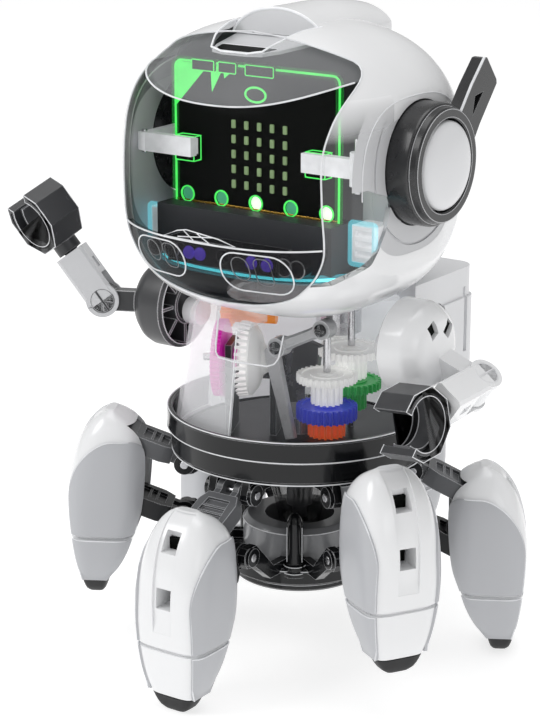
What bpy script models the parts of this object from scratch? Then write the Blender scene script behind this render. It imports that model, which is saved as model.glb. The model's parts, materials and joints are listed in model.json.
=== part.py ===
"""Six-legged walking robot kit: a round head with a smoked visor, two arms with open ring hands,
a clear waist over its gear trains, and six legs on parallel links that walk as two sets of three.

Lengths are in millimetres until node() turns them into metres. The robot faces -Y and its
left is +X. Leg number 0 points to the front, and the others follow every 60 degrees towards +X.
Right and left are the robot's own.
"""

import math

import bmesh
import bpy
from mathutils import Matrix, Vector

MM = 0.001
GAP = 0.35  # clearance between pieces that fit against each other

# where the robot's turning axis stands, so that the origin is under the middle of the whole robot
AXIS = Vector((10.6, -0.4, 0.0))

# ---- legs
LEG_COUNT = 6
LINK = 17.0  # from pivot to pivot
LINK_DOWN = math.radians(-27.0)  # link angle of a planted leg
LINK_UP = math.radians(20.06)  # link angle of a lifted leg
UPPER_HUB = (31.3, 53.2)  # radius and height of the upper link's inner pivot
LOWER_HUB = (32.5, 36.0)
LEG_HALF_WIDTH = 10.8
SLOT_HALF_WIDTH = 6.6  # the space between the leg's cheeks
ARM_HALF_WIDTH = 6.0
KNUCKLE_HALF_WIDTH = 3.6  # the link's hub end, between its two ears
EAR_INNER, EAR_OUTER = 4.0, 6.5
PIN_RADIUS = 1.4
HOLE_RADIUS = PIN_RADIUS + 0.6  # room for the six flats of pin and hole to turn in each other
SOLE_HEIGHT = 6.0  # top of the rubber tip

# ---- base
RING_RADIUS = 36.5
RING_TOP = 69.8
RING_FLOOR = 57.6
DRUM_RADIUS = 15.8
DRUM_TOP = 38.0
FLANGE_TOP = 28.0
FOOT_PLATE_BOTTOM = 19.5

# ---- waist and gear trains
WAIST_BOTTOM, WAIST_TOP = 61.9, 97.4
WAIST_RADIUS_BOTTOM, WAIST_RADIUS_TOP = 34.0, 29.6
WALL = 1.4
BATTERY_BOTTOM, BATTERY_TOP = 76.5, 104.0
MODULE = 0.8
TOP_TEETH, WHEEL_TEETH, PINION_TEETH, RED_TEETH = 22, 20, 10, 12
AXLE_RADIUS = 0.9
BORE_RADIUS = 1.25
AXLE_A = (8.8, 0.0)
AXLE_B = (8.8, 12.0)
MOTOR_DIRECTION = math.radians(90 + 3 * 360 / TOP_TEETH)  # from axle B, on one of its top teeth
ARM_SHAFT_ANGLE = math.radians(25.0)
ARM_SHAFT_HEIGHT = 81.5
CROWN_TEETH, MAGENTA_TEETH, ORANGE_TEETH = 22, 26, 8
ORANGE_RISE = 10.4  # from the arm shaft up to the orange pinion's

# ---- head
HEAD_CENTRE = Vector((0.0, -4.0, 138.5))
HEAD_HALF = (41.5, 39.5)
HEAD_UP, HEAD_DOWN = 37.5, 39.5
HEAD_SQUARENESS = 2.9  # exponent of its level outline
HEAD_WALL = 1.7
HEAD_FLOOR = 100.4
VISOR_HALF_WIDTH = 32.5
VISOR_BOTTOM, VISOR_TOP = 104.5, 171.0
EAR_CENTRE = (-1.5, 141.2)
EAR_RADIUS = 16.0
EAR_FACE = 46.0
CAP_RADIUS = 11.6
BOARD_HALF_WIDTH = 25.8
BOARD_FACE = -20.7
BOARD_BOTTOM, BOARD_TOP = 122.2, 164.6
BOARD_THICKNESS = 1.6
PAD_HEIGHT, PAD_PITCH = 129.2, 11.05  # of the five holes along the board's lower edge
CONNECTOR_TOP = 127.2
LEVER_HINGE = Vector((33.6, -24.4, 143.4))

# ---- arms
SHOULDER = Vector((38.0, -5.0, 93.5))
DRUM_SHOULDER_RADIUS = 12.4
UPPER_ARM_LENGTH = 20.5
HAND_REACH = 28.6
HAND_RADIUS = 9.6
HAND_BORE = 7.1
HAND_HALF_DEPTH = 5.2
# directions of the upper arm, of the forearm and of the hand ring's axis
LEFT_DIRECTIONS = ((0.77, 0.39, -0.51), (-0.09, -0.98, -0.105), (1.0, -0.15, 0.1))
RIGHT_DIRECTIONS = ((-0.86, -0.51, 0.03), (-0.56, -0.21, 0.80), (0.0, -0.8, -0.6))

COLOURS = {  # colour, roughness, metallic
    "white_shell": ((0.86, 0.87, 0.89), 0.25, 0.0),
    "grey_panel": ((0.62, 0.63, 0.66), 0.35, 0.0),
    "dark": ((0.045, 0.047, 0.052), 0.4, 0.0),
    "rubber": ((0.012, 0.012, 0.013), 0.7, 0.0),
    "clear_shell": ((0.85, 0.88, 0.92), 0.1, 0.0),
    "smoke": ((0.05, 0.055, 0.06), 0.08, 0.0),
    "board": ((0.01, 0.012, 0.011), 0.35, 0.0),
    "magenta": ((0.72, 0.03, 0.45), 0.4, 0.0),
    "orange": ((0.9, 0.28, 0.02), 0.4, 0.0),
    "red": ((0.85, 0.13, 0.04), 0.4, 0.0),
    "white_gear": ((0.84, 0.84, 0.83), 0.4, 0.0),
    "blue": ((0.03, 0.08, 0.62), 0.4, 0.0),
    "green": ((0.02, 0.5, 0.1), 0.4, 0.0),
    "metal": ((0.6, 0.6, 0.62), 0.3, 0.9),
}


def clear_scene():
    for old in list(bpy.data.objects):
        bpy.data.objects.remove(old)


def material(slot):
    if slot in bpy.data.materials:
        return bpy.data.materials[slot]
    made = bpy.data.materials.new(slot)
    made.use_nodes = True
    shader = made.node_tree.nodes["Principled BSDF"]
    colour, roughness, metallic = COLOURS[slot]
    shader.inputs["Base Color"].default_value = (*colour, 1)
    shader.inputs["Roughness"].default_value = roughness
    shader.inputs["Metallic"].default_value = metallic
    return made


# ---------------------------------------------------------------- mesh helpers, all in millimetres
def raw_object(mesh_builder, name="shape"):
    """An object made from a bmesh, in millimetres."""
    mesh = bpy.data.meshes.new(name)
    bmesh.ops.recalc_face_normals(mesh_builder, faces=mesh_builder.faces)
    mesh_builder.to_mesh(mesh)
    mesh_builder.free()
    made = bpy.data.objects.new(name, mesh)
    bpy.context.collection.objects.link(made)
    return made


def prism(outline, low, high, frame=None):
    """A flat outline of (a, b) points, extruded from low to high along the frame's third axis."""
    frame = frame or Matrix.Identity(4)
    builder = bmesh.new()
    bottom = [builder.verts.new(frame @ Vector((a, b, low))) for a, b in outline]
    top = [builder.verts.new(frame @ Vector((a, b, high))) for a, b in outline]
    count = len(outline)
    builder.faces.new(bottom[::-1])
    builder.faces.new(top)
    for i in range(count):
        j = (i + 1) % count
        builder.faces.new((bottom[i], bottom[j], top[j], top[i]))
    return raw_object(builder)


def turned(profile, segments, frame=None):
    """A closed (radius, height) profile, spun round the frame's third axis."""
    frame = frame or Matrix.Identity(4)
    builder = bmesh.new()
    rings = []
    for radius, height in profile:
        if radius < 1e-6:
            rings.append([builder.verts.new(frame @ Vector((0, 0, height)))] * segments)
            continue
        turns = [2 * math.pi * i / segments for i in range(segments)]
        ring = [Vector((radius * math.cos(t), radius * math.sin(t), height)) for t in turns]
        rings.append([builder.verts.new(frame @ point) for point in ring])
    for first, second in zip(rings, rings[1:] + rings[:1]):
        for i in range(segments):
            j = (i + 1) % segments
            corners = []
            for corner in (first[i], first[j], second[j], second[i]):
                if corner not in corners:
                    corners.append(corner)
            if len(corners) > 2:
                builder.faces.new(corners)
    return raw_object(builder)


def cylinder(radius, low, high, segments=12, frame=None):
    return turned([(0, low), (radius, low), (radius, high), (0, high)], segments, frame)


def block(low, high):
    """A box between two corners."""
    outline = [(low[0], low[1]), (high[0], low[1]), (high[0], high[1]), (low[0], high[1])]
    return prism(outline, low[2], high[2])


def combine(target, tool, operation):
    """Union, difference or intersection with another object, which is used up."""
    step = target.modifiers.new(operation, "BOOLEAN")
    step.operation = operation
    step.object = tool
    evaluated = target.evaluated_get(bpy.context.evaluated_depsgraph_get())
    mesh = bpy.data.meshes.new_from_object(evaluated)
    target.modifiers.clear()
    target.data = mesh
    bpy.data.objects.remove(tool)
    return target


def cut(target, tool):
    return combine(target, tool, "DIFFERENCE")


def join(target, *tools):
    for tool in tools:
        combine(target, tool, "UNION")
    return target


def frame_along(origin, third, second=(0, 0, 1)):
    """A frame at origin whose third axis runs along third, and whose second is nearest to second."""
    z = Vector(third).normalized()
    x = Vector(second).cross(z).normalized()
    y = z.cross(x)
    turn = Matrix((x, y, z)).transposed().to_4x4()
    return Matrix.Translation(Vector(origin)) @ turn


def node(name, shape, slot, origin=(0, 0, 0), turn=None):
    """Names a shape, puts it in metres about its origin, gives it its material and shades it."""
    origin = Vector(origin)
    turn = turn or Matrix.Identity(4)
    shape.name = name
    shape.data.name = name
    shape.data.transform(turn)
    origin = turn @ origin
    shape.data.transform(Matrix.Scale(MM, 4) @ Matrix.Translation(-origin))
    shape.location = (origin + AXIS) * MM
    shape.data.materials.clear()
    shape.data.materials.append(material(slot))
    shape.data.shade_smooth()
    shape.data.set_sharp_from_angle(angle=math.radians(35))
    return shape


# ---------------------------------------------------------------- outlines
def arc(centre, radius, start, end, steps):
    """Points on an arc, angles in degrees."""
    turns = [math.radians(start + (end - start) * i / steps) for i in range(steps + 1)]
    return [(centre[0] + radius * math.cos(t), centre[1] + radius * math.sin(t)) for t in turns]


def signed_power(value, power):
    return math.copysign(abs(value) ** power, value)


def superellipse(half_x, half_y, exponent, count, centre=(0, 0)):
    turns = [2 * math.pi * i / count for i in range(count)]
    return [
        (
            centre[0] + half_x * signed_power(math.cos(t), 2 / exponent),
            centre[1] + half_y * signed_power(math.sin(t), 2 / exponent),
        )
        for t in turns
    ]


def gear_outline(teeth, phase=0.0):
    """Teeth with straight flanks, a little slimmer than half the pitch so that they run freely."""
    pitch_radius = MODULE * teeth / 2
    root, tip = pitch_radius - 1.0 * MODULE, pitch_radius + 0.78 * MODULE
    pitch = 2 * math.pi / teeth
    points = []
    for i in range(teeth):
        middle = phase + i * pitch
        for radius, share in ((root, -0.27), (tip, -0.1), (tip, 0.1), (root, 0.27)):
            angle = middle + share * pitch
            points.append((radius * math.cos(angle), radius * math.sin(angle)))
    return points


# ---------------------------------------------------------------- legs
def side_frame():
    """Third axis across the leg; the first two are the radius from the robot's axis and the height."""
    return Matrix(((0, 0, 1, 0), (-1, 0, 0, 0), (0, 1, 0, 0), (0, 0, 0, 1)))


def leg_body():
    """The whole leg, planted: its side outline crossed with its front outline."""
    side = [(44.3, 46.8), (46.0, 51.6), (49.5, 53.7), (53.0, 53.7), (57.0, 51.2), (60.2, 46.0)]
    side += [(62.4, 38.0), (63.3, 29.0), (63.2, 20.0), (61.8, 10.0), (59.6, 2.0), (58.6, 0.0)]
    side += [(54.6, 0.0), (53.2, 3.0), (50.2, 12.0), (47.6, 20.0), (45.2, 26.0), (44.6, 33.0)]
    front_half = [(3.4, 0.0), (5.2, 2.0), (8.2, 8.0), (10.3, 18.0), (10.8, 30.0), (10.6, 41.0)]
    front_half += [(9.6, 47.5), (7.2, 52.4), (3.4, 55.0)]
    front = front_half + [(-a, b) for a, b in reversed(front_half)]
    shape = prism(side, -LEG_HALF_WIDTH - 1, LEG_HALF_WIDTH + 1, side_frame())
    across = Matrix(((1, 0, 0, 0), (0, 0, -1, 0), (0, 1, 0, 0), (0, 0, 0, 1)))
    return combine(shape, prism(front, 40, 70, across), "INTERSECT")


def leg_shell():
    shape = leg_body()
    cut(shape, block((-20, -80, -5), (20, -30, SOLE_HEIGHT)))
    # the space for the two links, open towards the robot
    cut(shape, block((-SLOT_HALF_WIDTH, -56.5, 20.5), (SLOT_HALF_WIDTH, -40, 50.2)))
    # the channel down the front, with two square windows through it
    channel = [(70.0, 57.0), (70.0, 12.0), (61.2, 12.0), (62.0, 20.0), (62.1, 29.0), (61.2, 37.6)]
    channel += [(59.1, 45.2), (56.2, 49.9), (52.6, 52.8), (50.0, 53.0), (49.0, 57.0)]
    cut(shape, prism(channel, -3.0, 3.0, side_frame()))
    for low, high in ((44.6, 49.4), (30.4, 35.2)):
        cut(shape, block((-2.0, -70, low), (2.0, -55.5, high)))
    for pivot in (leg_pivot(UPPER_HUB), leg_pivot(LOWER_HUB)):
        cut(shape, cylinder(HOLE_RADIUS, -13, 13, 6, side_frame() @ Matrix.Translation((*pivot, 0))))
    return shape


def leg_foot():
    """The rubber tip, a little slimmer than the shell above it."""
    shape = leg_body()
    return cut(shape, block((-20, -80, SOLE_HEIGHT - GAP), (20, -30, 60)))


def leg_pivot(hub, angle=LINK_DOWN):
    return hub[0] + LINK * math.cos(angle), hub[1] + LINK * math.sin(angle)


def link(hub, half_thickness):
    """A link from its hub pivot to its leg pivot, planted, with a pin through each end."""
    leg_end = leg_pivot(hub)
    along = Matrix.Translation((*hub, 0)) @ Matrix.Rotation(LINK_DOWN, 4, "Z")
    frame = side_frame() @ along
    knuckle = half_thickness + 0.6
    plate = [(4.6, -half_thickness), (LINK, -half_thickness)]
    plate += [(LINK, half_thickness), (4.6, half_thickness)]
    shape = prism(plate, -ARM_HALF_WIDTH, ARM_HALF_WIDTH, frame)
    neck = [(0, -half_thickness + 0.2), (5.4, -half_thickness + 0.2)]
    neck += [(5.4, half_thickness - 0.2), (0, half_thickness - 0.2)]
    join(shape, prism(neck, -KNUCKLE_HALF_WIDTH + 0.2, KNUCKLE_HALF_WIDTH - 0.2, frame))
    join(shape, cylinder(knuckle, -KNUCKLE_HALF_WIDTH, KNUCKLE_HALF_WIDTH, 10, frame))
    at_leg = side_frame() @ Matrix.Translation((*leg_end, 0))
    join(shape, cylinder(knuckle, -ARM_HALF_WIDTH + 0.2, ARM_HALF_WIDTH - 0.2, 10, at_leg))
    join(shape, cylinder(PIN_RADIUS, -EAR_OUTER + 0.1, EAR_OUTER - 0.1, 6, frame))
    return join(shape, cylinder(PIN_RADIUS, -9.6, 9.6, 6, at_leg))


def make_legs():
    for number in range(LEG_COUNT):
        turn = Matrix.Rotation(2 * math.pi * number / LEG_COUNT, 4, "Z")
        lifted = number % 2 == 1
        rise = LINK * (math.sin(LINK_UP) - math.sin(LINK_DOWN)) if lifted else 0.0
        reach = LINK * (math.cos(LINK_UP) - math.cos(LINK_DOWN)) if lifted else 0.0
        swing = LINK_UP - LINK_DOWN if lifted else 0.0
        travel = Matrix.Translation((0, -reach, rise))
        upper, lower = leg_pivot(UPPER_HUB), leg_pivot(LOWER_HUB)
        shell_origin = travel @ Vector((0, -upper[0], upper[1]))
        for name, shape, slot in (
            ("leg_shell", leg_shell(), "white_shell"),
            ("leg_foot", leg_foot(), "rubber"),
        ):
            shape.data.transform(travel)
            node(f"{name}_{number}", shape, slot, shell_origin, turn)
        for name, hub, half_thickness in (
            ("upper_link", UPPER_HUB, 2.4),
            ("lower_link", LOWER_HUB, 2.6),
        ):
            shape = link(hub, half_thickness)
            pivot = Matrix.Translation((0, -hub[0], hub[1]))
            # lifting turns the link about the axis across the leg
            lift = pivot @ Matrix.Rotation(-swing, 4, "X") @ pivot.inverted()
            shape.data.transform(lift)
            node(f"{name}_{number}", shape, "dark", (0, -hub[0], hub[1]), turn)


# ---------------------------------------------------------------- base
def ear_pair(shape, hub, inner_radius, low, high, turn):
    """Two ears that hold one link's hub pin."""
    outline = [(inner_radius, low), (hub[0] + 2.9, low), (hub[0] + 2.9, high), (inner_radius, high)]
    frame = turn @ side_frame()
    for side in (-1, 1):
        ends = sorted((side * EAR_INNER, side * EAR_OUTER))
        join(shape, prism(outline, *ends, frame))
    pin_hole = frame @ Matrix.Translation((*hub, 0))
    return cut(shape, cylinder(HOLE_RADIUS, -EAR_OUTER - 0.5, EAR_OUTER + 0.5, 6, pin_hole))


def base_ring():
    profile = [(10.4, RING_FLOOR), (35.0, RING_FLOOR), (35.3, 60.4), (35.3, 64.0), (36.5, 64.6)]
    profile += [(RING_RADIUS, RING_TOP), (34.9, RING_TOP), (34.6, 60.0), (10.4, 60.0)]
    shape = turned(profile, 30)
    for number in range(LEG_COUNT):
        turn = Matrix.Rotation(2 * math.pi * number / LEG_COUNT, 4, "Z")
        ear_pair(shape, UPPER_HUB, 26.0, 50.0, 58.4, turn)
    return shape


def lower_hub():
    profile = [(0, FOOT_PLATE_BOTTOM), (14.5, FOOT_PLATE_BOTTOM), (18.4, 21.2), (18.4, 23.0)]
    profile += [(20.0, 23.6), (20.0, FLANGE_TOP)]
    profile += [(DRUM_RADIUS, FLANGE_TOP), (DRUM_RADIUS, 36.6), (14.4, DRUM_TOP)]
    profile += [(9.6, DRUM_TOP), (9.2, 31.0), (0, 31.0)]
    shape = turned(profile, 24)
    for number in range(LEG_COUNT):
        turn = Matrix.Rotation(2 * math.pi * number / LEG_COUNT, 4, "Z")
        ear_pair(shape, LOWER_HUB, 13.0, 32.6, 38.6, turn)
    for number in range(3):
        angle = math.radians(30 + 120 * number)
        place = Matrix.Translation((17.6 * math.sin(angle), -17.6 * math.cos(angle), 0))
        post = [(0, 26.0), (2.2, 26.0), (2.2, 40.4), (1.5, 42.6), (0, 43.8)]
        join(shape, turned(post, 8, place))
    return shape


def make_base():
    node("base_ring", base_ring(), "dark")
    node("lower_hub", lower_hub(), "dark")


# ---------------------------------------------------------------- waist
def waist_radius(height):
    share = (height - 66.0) / (WAIST_TOP - 66.0)
    return WAIST_RADIUS_BOTTOM + (WAIST_RADIUS_TOP - WAIST_RADIUS_BOTTOM) * max(share, 0.0)


def waist_shell():
    outer = [(waist_radius(h), h) for h in (WAIST_BOTTOM, 66.0, 80.0, 92.0)]
    outer += [(WAIST_RADIUS_TOP - 0.6, WAIST_TOP), (17.0, WAIST_TOP), (17.0, 101.0), (14.0, 101.0)]
    inner = [(14.0, WAIST_TOP - WALL), (waist_radius(92.0) - WALL, WAIST_TOP - WALL)]
    inner += [(waist_radius(h) - WALL, h) for h in (80.0, 66.0, WAIST_BOTTOM)]
    shape = turned(outer + inner, 28)
    for side in (-1, 1):
        outward = frame_along((0, SHOULDER.y, SHOULDER.z - 1.5), (side, 0, 0))
        stub = turned([(0, 29.0), (4.0, 29.0), (4.0, 34.0), (0, 34.0)], 14, outward)
        join(shape, stub)
    return shape


def battery_case():
    """A box behind the waist that wraps round both its sides."""
    outline = [(-25.0, 46.0), (-29.2, 42.0), (-29.2, 13.0), (29.2, 13.0), (29.2, 42.0), (25.0, 46.0)]
    shape = prism(outline, BATTERY_BOTTOM, 96.0)
    lid = [(-24.0, 45.4), (-28.2, 41.4), (-28.2, 16.0), (28.2, 16.0), (28.2, 41.4), (24.0, 45.4)]
    join(shape, prism(lid, 95.0, BATTERY_TOP))
    near = WAIST_RADIUS_TOP + 1.4
    hollow = turned([(0, 70), (34.6, 70), (near, 99.0), (near, 110), (0, 110)], 28)
    return cut(shape, hollow)


def gear(teeth, low, high, phase=0.0, frame=None):
    return prism(gear_outline(teeth, phase), low, high, frame)


def compound(wheel, pinion, wheel_span, pinion_span, phases=(0.0, 0.0), frame=None):
    """A wheel and a pinion in one piece, on one bore."""
    shape = gear(wheel, *wheel_span, phases[0], frame)
    join(shape, gear(pinion, *pinion_span, phases[1], frame))
    low = min(wheel_span[0], pinion_span[0]) - 1
    high = max(wheel_span[1], pinion_span[1]) + 1
    return cut(shape, cylinder(BORE_RADIUS, low, high, 6, frame))


def half_tooth(teeth):
    return math.pi / teeth


def make_walk_train():
    """Five stages on two upright axles. Axle B stands behind axle A, so teeth meet along Y."""
    at_a = Matrix.Translation((*AXLE_A, 0))
    at_b = Matrix.Translation((*AXLE_B, 0))
    up = math.pi / 2  # from axle A, axle B lies this way
    down = -math.pi / 2
    # on each meshing pair, one gear shows a tooth to its neighbour and the other a gap
    gap_down = down + half_tooth(WHEEL_TEETH)
    gap_up = up + half_tooth(WHEEL_TEETH)
    top = compound(TOP_TEETH, PINION_TEETH, (80.2, 84.2), (75.6, 80.4), (up, down), at_b)
    node("top_gear", top, "white_gear", (*AXLE_B, 82))
    middle = compound(WHEEL_TEETH, PINION_TEETH, (75.6, 79.6), (71.2, 75.8), (gap_up, up), at_a)
    node("middle_gear", middle, "white_gear", (*AXLE_A, 77))
    third = compound(WHEEL_TEETH, PINION_TEETH, (71.2, 75.0), (66.8, 71.4), (gap_down, down), at_b)
    node("green_gear", third, "green", (*AXLE_B, 73))
    blue = gear(WHEEL_TEETH, 66.8, 70.8, gap_up, at_a)
    cut(blue, cylinder(BORE_RADIUS, 60, 75, 6, at_a))
    node("blue_gear", blue, "blue", (*AXLE_A, 69))
    red = gear(RED_TEETH, 62.0, 66.8 - GAP, math.pi, at_a)
    cut(red, cylinder(BORE_RADIUS, 60, 75, 6, at_a))
    node("red_pinion", red, "red", (*AXLE_A, 64))
    cup = [(0, 34.6), (5.4, 34.6), (8.5, 48.0), (9.4, 56.4), (9.4, 59.0), (3.0, 59.4), (3.0, 63.0)]
    cone = turned(cup + [(0, 63.0)], 16)
    join(cone, gear(PINION_TEETH, 62.0, 66.2, half_tooth(PINION_TEETH)))
    node("drive_cone", cone, "dark")
    make_walk_motor()


def motor_place():
    reach = MODULE * (TOP_TEETH + PINION_TEETH) / 2
    x = AXLE_B[0] + reach * math.cos(MOTOR_DIRECTION)
    return x, AXLE_B[1] + reach * math.sin(MOTOR_DIRECTION)


def make_walk_motor():
    """The motor's can, and the pinion below it that drives the top gear."""
    place = motor_place()
    at_motor = Matrix.Translation((*place, 0))
    phase = MOTOR_DIRECTION + math.pi + half_tooth(PINION_TEETH)
    driver = gear(PINION_TEETH, 80.4, 84.0, phase, at_motor)
    join(driver, cylinder(1.6, 78.8, 86.2, 10, at_motor))
    node("motor_pinion", driver, "white_gear", (*place, 82))
    can = cylinder(6.4, 85.6, 95.4, 20, at_motor)
    cut(can, cylinder(2.0, 85, 88, 10, at_motor))
    node("walk_motor", can, "metal", (*place, 90))


def arm_frame(along=0.0, across=0.0, height=ARM_SHAFT_HEIGHT):
    """Third axis along the arm shaft; the first runs across it, level, and the second up."""
    direction = Vector((math.cos(ARM_SHAFT_ANGLE), math.sin(ARM_SHAFT_ANGLE), 0))
    level = Vector((-direction.y, direction.x, 0))
    origin = direction * along + level * across + Vector((0, 0, height))
    return frame_along(origin, direction)


def make_arm_train():
    """A level shaft with the magenta wheel and the crown wheel, driven by the orange pinion."""
    frame = arm_frame()
    reach = MODULE * (MAGENTA_TEETH + ORANGE_TEETH) / 2
    across = math.sqrt(reach ** 2 - ORANGE_RISE ** 2)
    first_axis = frame.to_3x3() @ Vector((1, 0, 0))
    level = Vector((-math.sin(ARM_SHAFT_ANGLE), math.cos(ARM_SHAFT_ANGLE), 0))
    side = 1 if first_axis.dot(level) > 0 else -1
    toward = math.atan2(ORANGE_RISE, side * across)
    magenta = gear(MAGENTA_TEETH, -23.2, -20.4, toward, frame)
    join(magenta, cylinder(3.4, -23.8, -17.6, 12, frame))
    node("magenta_gear", magenta, "magenta", frame @ Vector((0, 0, -22)))
    crown = cylinder(9.2, -15.6, -12.6, 22, frame)
    for i in range(CROWN_TEETH):
        angle = 2 * math.pi * i / CROWN_TEETH
        tooth = Matrix.Rotation(angle, 4, "Z")
        outline = [(8.0, -0.45), (10.6, -0.3), (10.6, 0.3), (8.0, 0.45)]
        join(crown, prism(outline, -17.2, -13.2, frame @ tooth))
    join(crown, cylinder(3.2, -17.3, -8.4, 12, frame))
    node("crown_gear", crown, "white_gear", frame @ Vector((0, 0, -14)))
    beside = arm_frame(0, across, ARM_SHAFT_HEIGHT + ORANGE_RISE)
    orange = gear(ORANGE_TEETH, -23.4, -20.2, toward + math.pi + half_tooth(ORANGE_TEETH), beside)
    join(orange, cylinder(2.6, -20.4, -8.0, 12, beside))
    node("orange_pinion", orange, "orange", beside @ Vector((0, 0, -16)))


def gearbox_frame():
    """The deck under the trains, its two axles, and the posts that carry the arm shaft."""
    shape = turned([(3.5, 60.45), (31.8, 60.45), (31.8, 61.5), (3.5, 61.5)], 20)
    for place, top in ((AXLE_A, 87.5), (AXLE_B, 90.0)):
        at = Matrix.Translation((*place, 0))
        join(shape, cylinder(AXLE_RADIUS, 60.8, top, 8, at))
    for along, bearing in ((-19.0, 3.8), (-6.6, 0.0)):
        side = arm_frame(along)
        wall = prism([(-5.4, -20.6), (5.4, -20.6), (5.4, 5.0), (-5.4, 5.0)], -0.9, 0.9, side)
        if bearing:
            cut(wall, cylinder(bearing, -2, 2, 12, side))
        join(shape, wall)
    return shape


def arm_motor():
    frame = arm_frame(-5.0, 14.0, 75.0)
    shape = prism([(-5.5, -8.0), (5.5, -8.0), (5.5, 8.0), (-5.5, 8.0)], -5.0, 5.0, frame)
    return join(shape, cylinder(3.2, -8.0, -4.0, 12, frame))


def make_waist():
    node("waist_shell", waist_shell(), "clear_shell")
    node("battery_case", battery_case(), "white_shell")
    node("gearbox_frame", gearbox_frame(), "grey_panel")
    node("arm_motor", arm_motor(), "metal")
    make_walk_train()
    make_arm_train()


# ---------------------------------------------------------------- head
def head_point(latitude, longitude, inset):
    """A point on the head's rounded-box surface, inset along its three half sizes."""
    rising = latitude > 0
    tall = (HEAD_UP if rising else HEAD_DOWN) - inset
    exponent = 2.5 if rising else 3.0
    wide = abs(math.cos(latitude)) ** (2 / exponent)
    height = tall * signed_power(math.sin(latitude), 2 / exponent)
    x = (HEAD_HALF[0] - inset) * wide * signed_power(math.cos(longitude), 2 / HEAD_SQUARENESS)
    y = (HEAD_HALF[1] - inset) * wide * signed_power(math.sin(longitude), 2 / HEAD_SQUARENESS)
    return HEAD_CENTRE + Vector((x, y, height))


def head_solid(inset, rows=12, columns=24):
    builder = bmesh.new()
    bottom = builder.verts.new(head_point(-math.pi / 2, 0, inset))
    top = builder.verts.new(head_point(math.pi / 2, 0, inset))
    rings = []
    for row in range(1, rows):
        latitude = -math.pi / 2 + math.pi * row / rows
        turns = [2 * math.pi * column / columns for column in range(columns)]
        rings.append([builder.verts.new(head_point(latitude, turn, inset)) for turn in turns])
    for i in range(columns):
        j = (i + 1) % columns
        builder.faces.new((bottom, rings[0][j], rings[0][i]))
        builder.faces.new((top, rings[-1][i], rings[-1][j]))
        for low, high in zip(rings, rings[1:]):
            builder.faces.new((low[i], low[j], high[j], high[i]))
    return raw_object(builder)


def visor_window(shrink):
    """The window's rounded outline in X and Z, as a prism through the head's front."""
    half, corner = VISOR_HALF_WIDTH - shrink, 14.0
    low, high = VISOR_BOTTOM + shrink, VISOR_TOP - shrink
    outline = []
    for x, z, start in ((1, 1, 0), (-1, 1, 90), (-1, -1, 180), (1, -1, 270)):
        centre = (x * (half - corner), (high if z > 0 else low) - z * corner)
        outline += arc(centre, corner, start, start + 90, 5)
    facing = Matrix(((1, 0, 0, 0), (0, 0, 1, 0), (0, 1, 0, 0), (0, 0, 0, 1)))
    return prism(outline, -60.0, -14.0 - shrink, facing)


def head_shell():
    shape = head_solid(0.0)
    cut(shape, head_solid(HEAD_WALL))
    cut(shape, visor_window(0.0))
    cut(shape, cylinder(20.0, 90, HEAD_FLOOR + 2.5, 20))
    cut(shape, block((-60, -60, 90), (60, 60, HEAD_FLOOR)))
    for side in (-1, 1):
        outward = frame_along((0, *EAR_CENTRE), (side, 0, 0))
        cut(shape, cylinder(EAR_RADIUS + GAP, 30, 60, 20, outward))
    return shape


def visor():
    shape = head_solid(0.0)
    cut(shape, head_solid(HEAD_WALL))
    return combine(shape, visor_window(GAP), "INTERSECT")


def head_crest():
    """The raised band over the crown."""
    shape = head_solid(-3.2)
    combine(shape, block((-10.5, -20.0, 160.0), (10.5, 22.0, 200.0)), "INTERSECT")
    return cut(shape, head_solid(-GAP))


def ear_ring(side):
    outward = frame_along((0, *EAR_CENTRE), (side, 0, 0))
    face = EAR_FACE
    inner = CAP_RADIUS + 0.5
    profile = [(3.5, face - 8.2), (15.2, face - 9.4), (EAR_RADIUS, face - 9.4)]
    profile += [(EAR_RADIUS, face - 1.6), (EAR_RADIUS - 1.4, face), (inner, face)]
    profile += [(inner, face - 6.6), (3.5, face - 6.6)]
    shape = turned(profile, 24, outward)
    y, z = EAR_CENTRE
    # the fin stands up and back from the ring
    fin = [(y + 7.5, z + 13.2), (y + 21.5, z + 25.0), (y + 27.0, z + 18.0), (y + 15.2, z + 3.4)]
    fin += [(y + 13.0, z + 5.0)]
    across = frame_along((0, 0, 0), (1, 0, 0))
    flat = [Vector((0, a, b)) for a, b in fin]
    local = [across.inverted() @ point for point in flat]
    ends = sorted((side * (face - 4.6), side * (face - 1.8)))
    join(shape, prism([(point.x, point.y) for point in local], *ends, across))
    return shape


def ear_cap(side):
    outward = frame_along((0, *EAR_CENTRE), (side, 0, 0))
    face = EAR_FACE
    profile = [(0, face - 9.2), (3.0, face - 9.2), (3.0, face - 4.0), (CAP_RADIUS, face - 4.0)]
    profile += [(CAP_RADIUS, face - 0.8), (10.4, face + 1.0), (7.6, face + 2.0), (4.0, face + 2.6)]
    profile += [(0, face + 2.8)]
    return turned(profile, 20, outward)


def controller_board():
    low = (-BOARD_HALF_WIDTH, BOARD_FACE, BOARD_BOTTOM)
    high = (BOARD_HALF_WIDTH, BOARD_FACE + BOARD_THICKNESS, BOARD_TOP)
    shape = block(low, high)
    for number in range(5):
        frame = frame_along(((number - 2) * PAD_PITCH, 0, PAD_HEIGHT), (0, 1, 0))
        cut(shape, cylinder(2.0, -30, -10, 10, frame))
    return shape


def edge_connector():
    shape = block((-27.6, -27.0, 114.7), (27.6, -16.0, CONNECTOR_TOP))
    slot_low = (-BOARD_HALF_WIDTH - GAP, BOARD_FACE - GAP, BOARD_BOTTOM - GAP)
    slot_high = (BOARD_HALF_WIDTH + GAP, BOARD_FACE + BOARD_THICKNESS + GAP, 130)
    return cut(shape, block(slot_low, slot_high))


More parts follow.
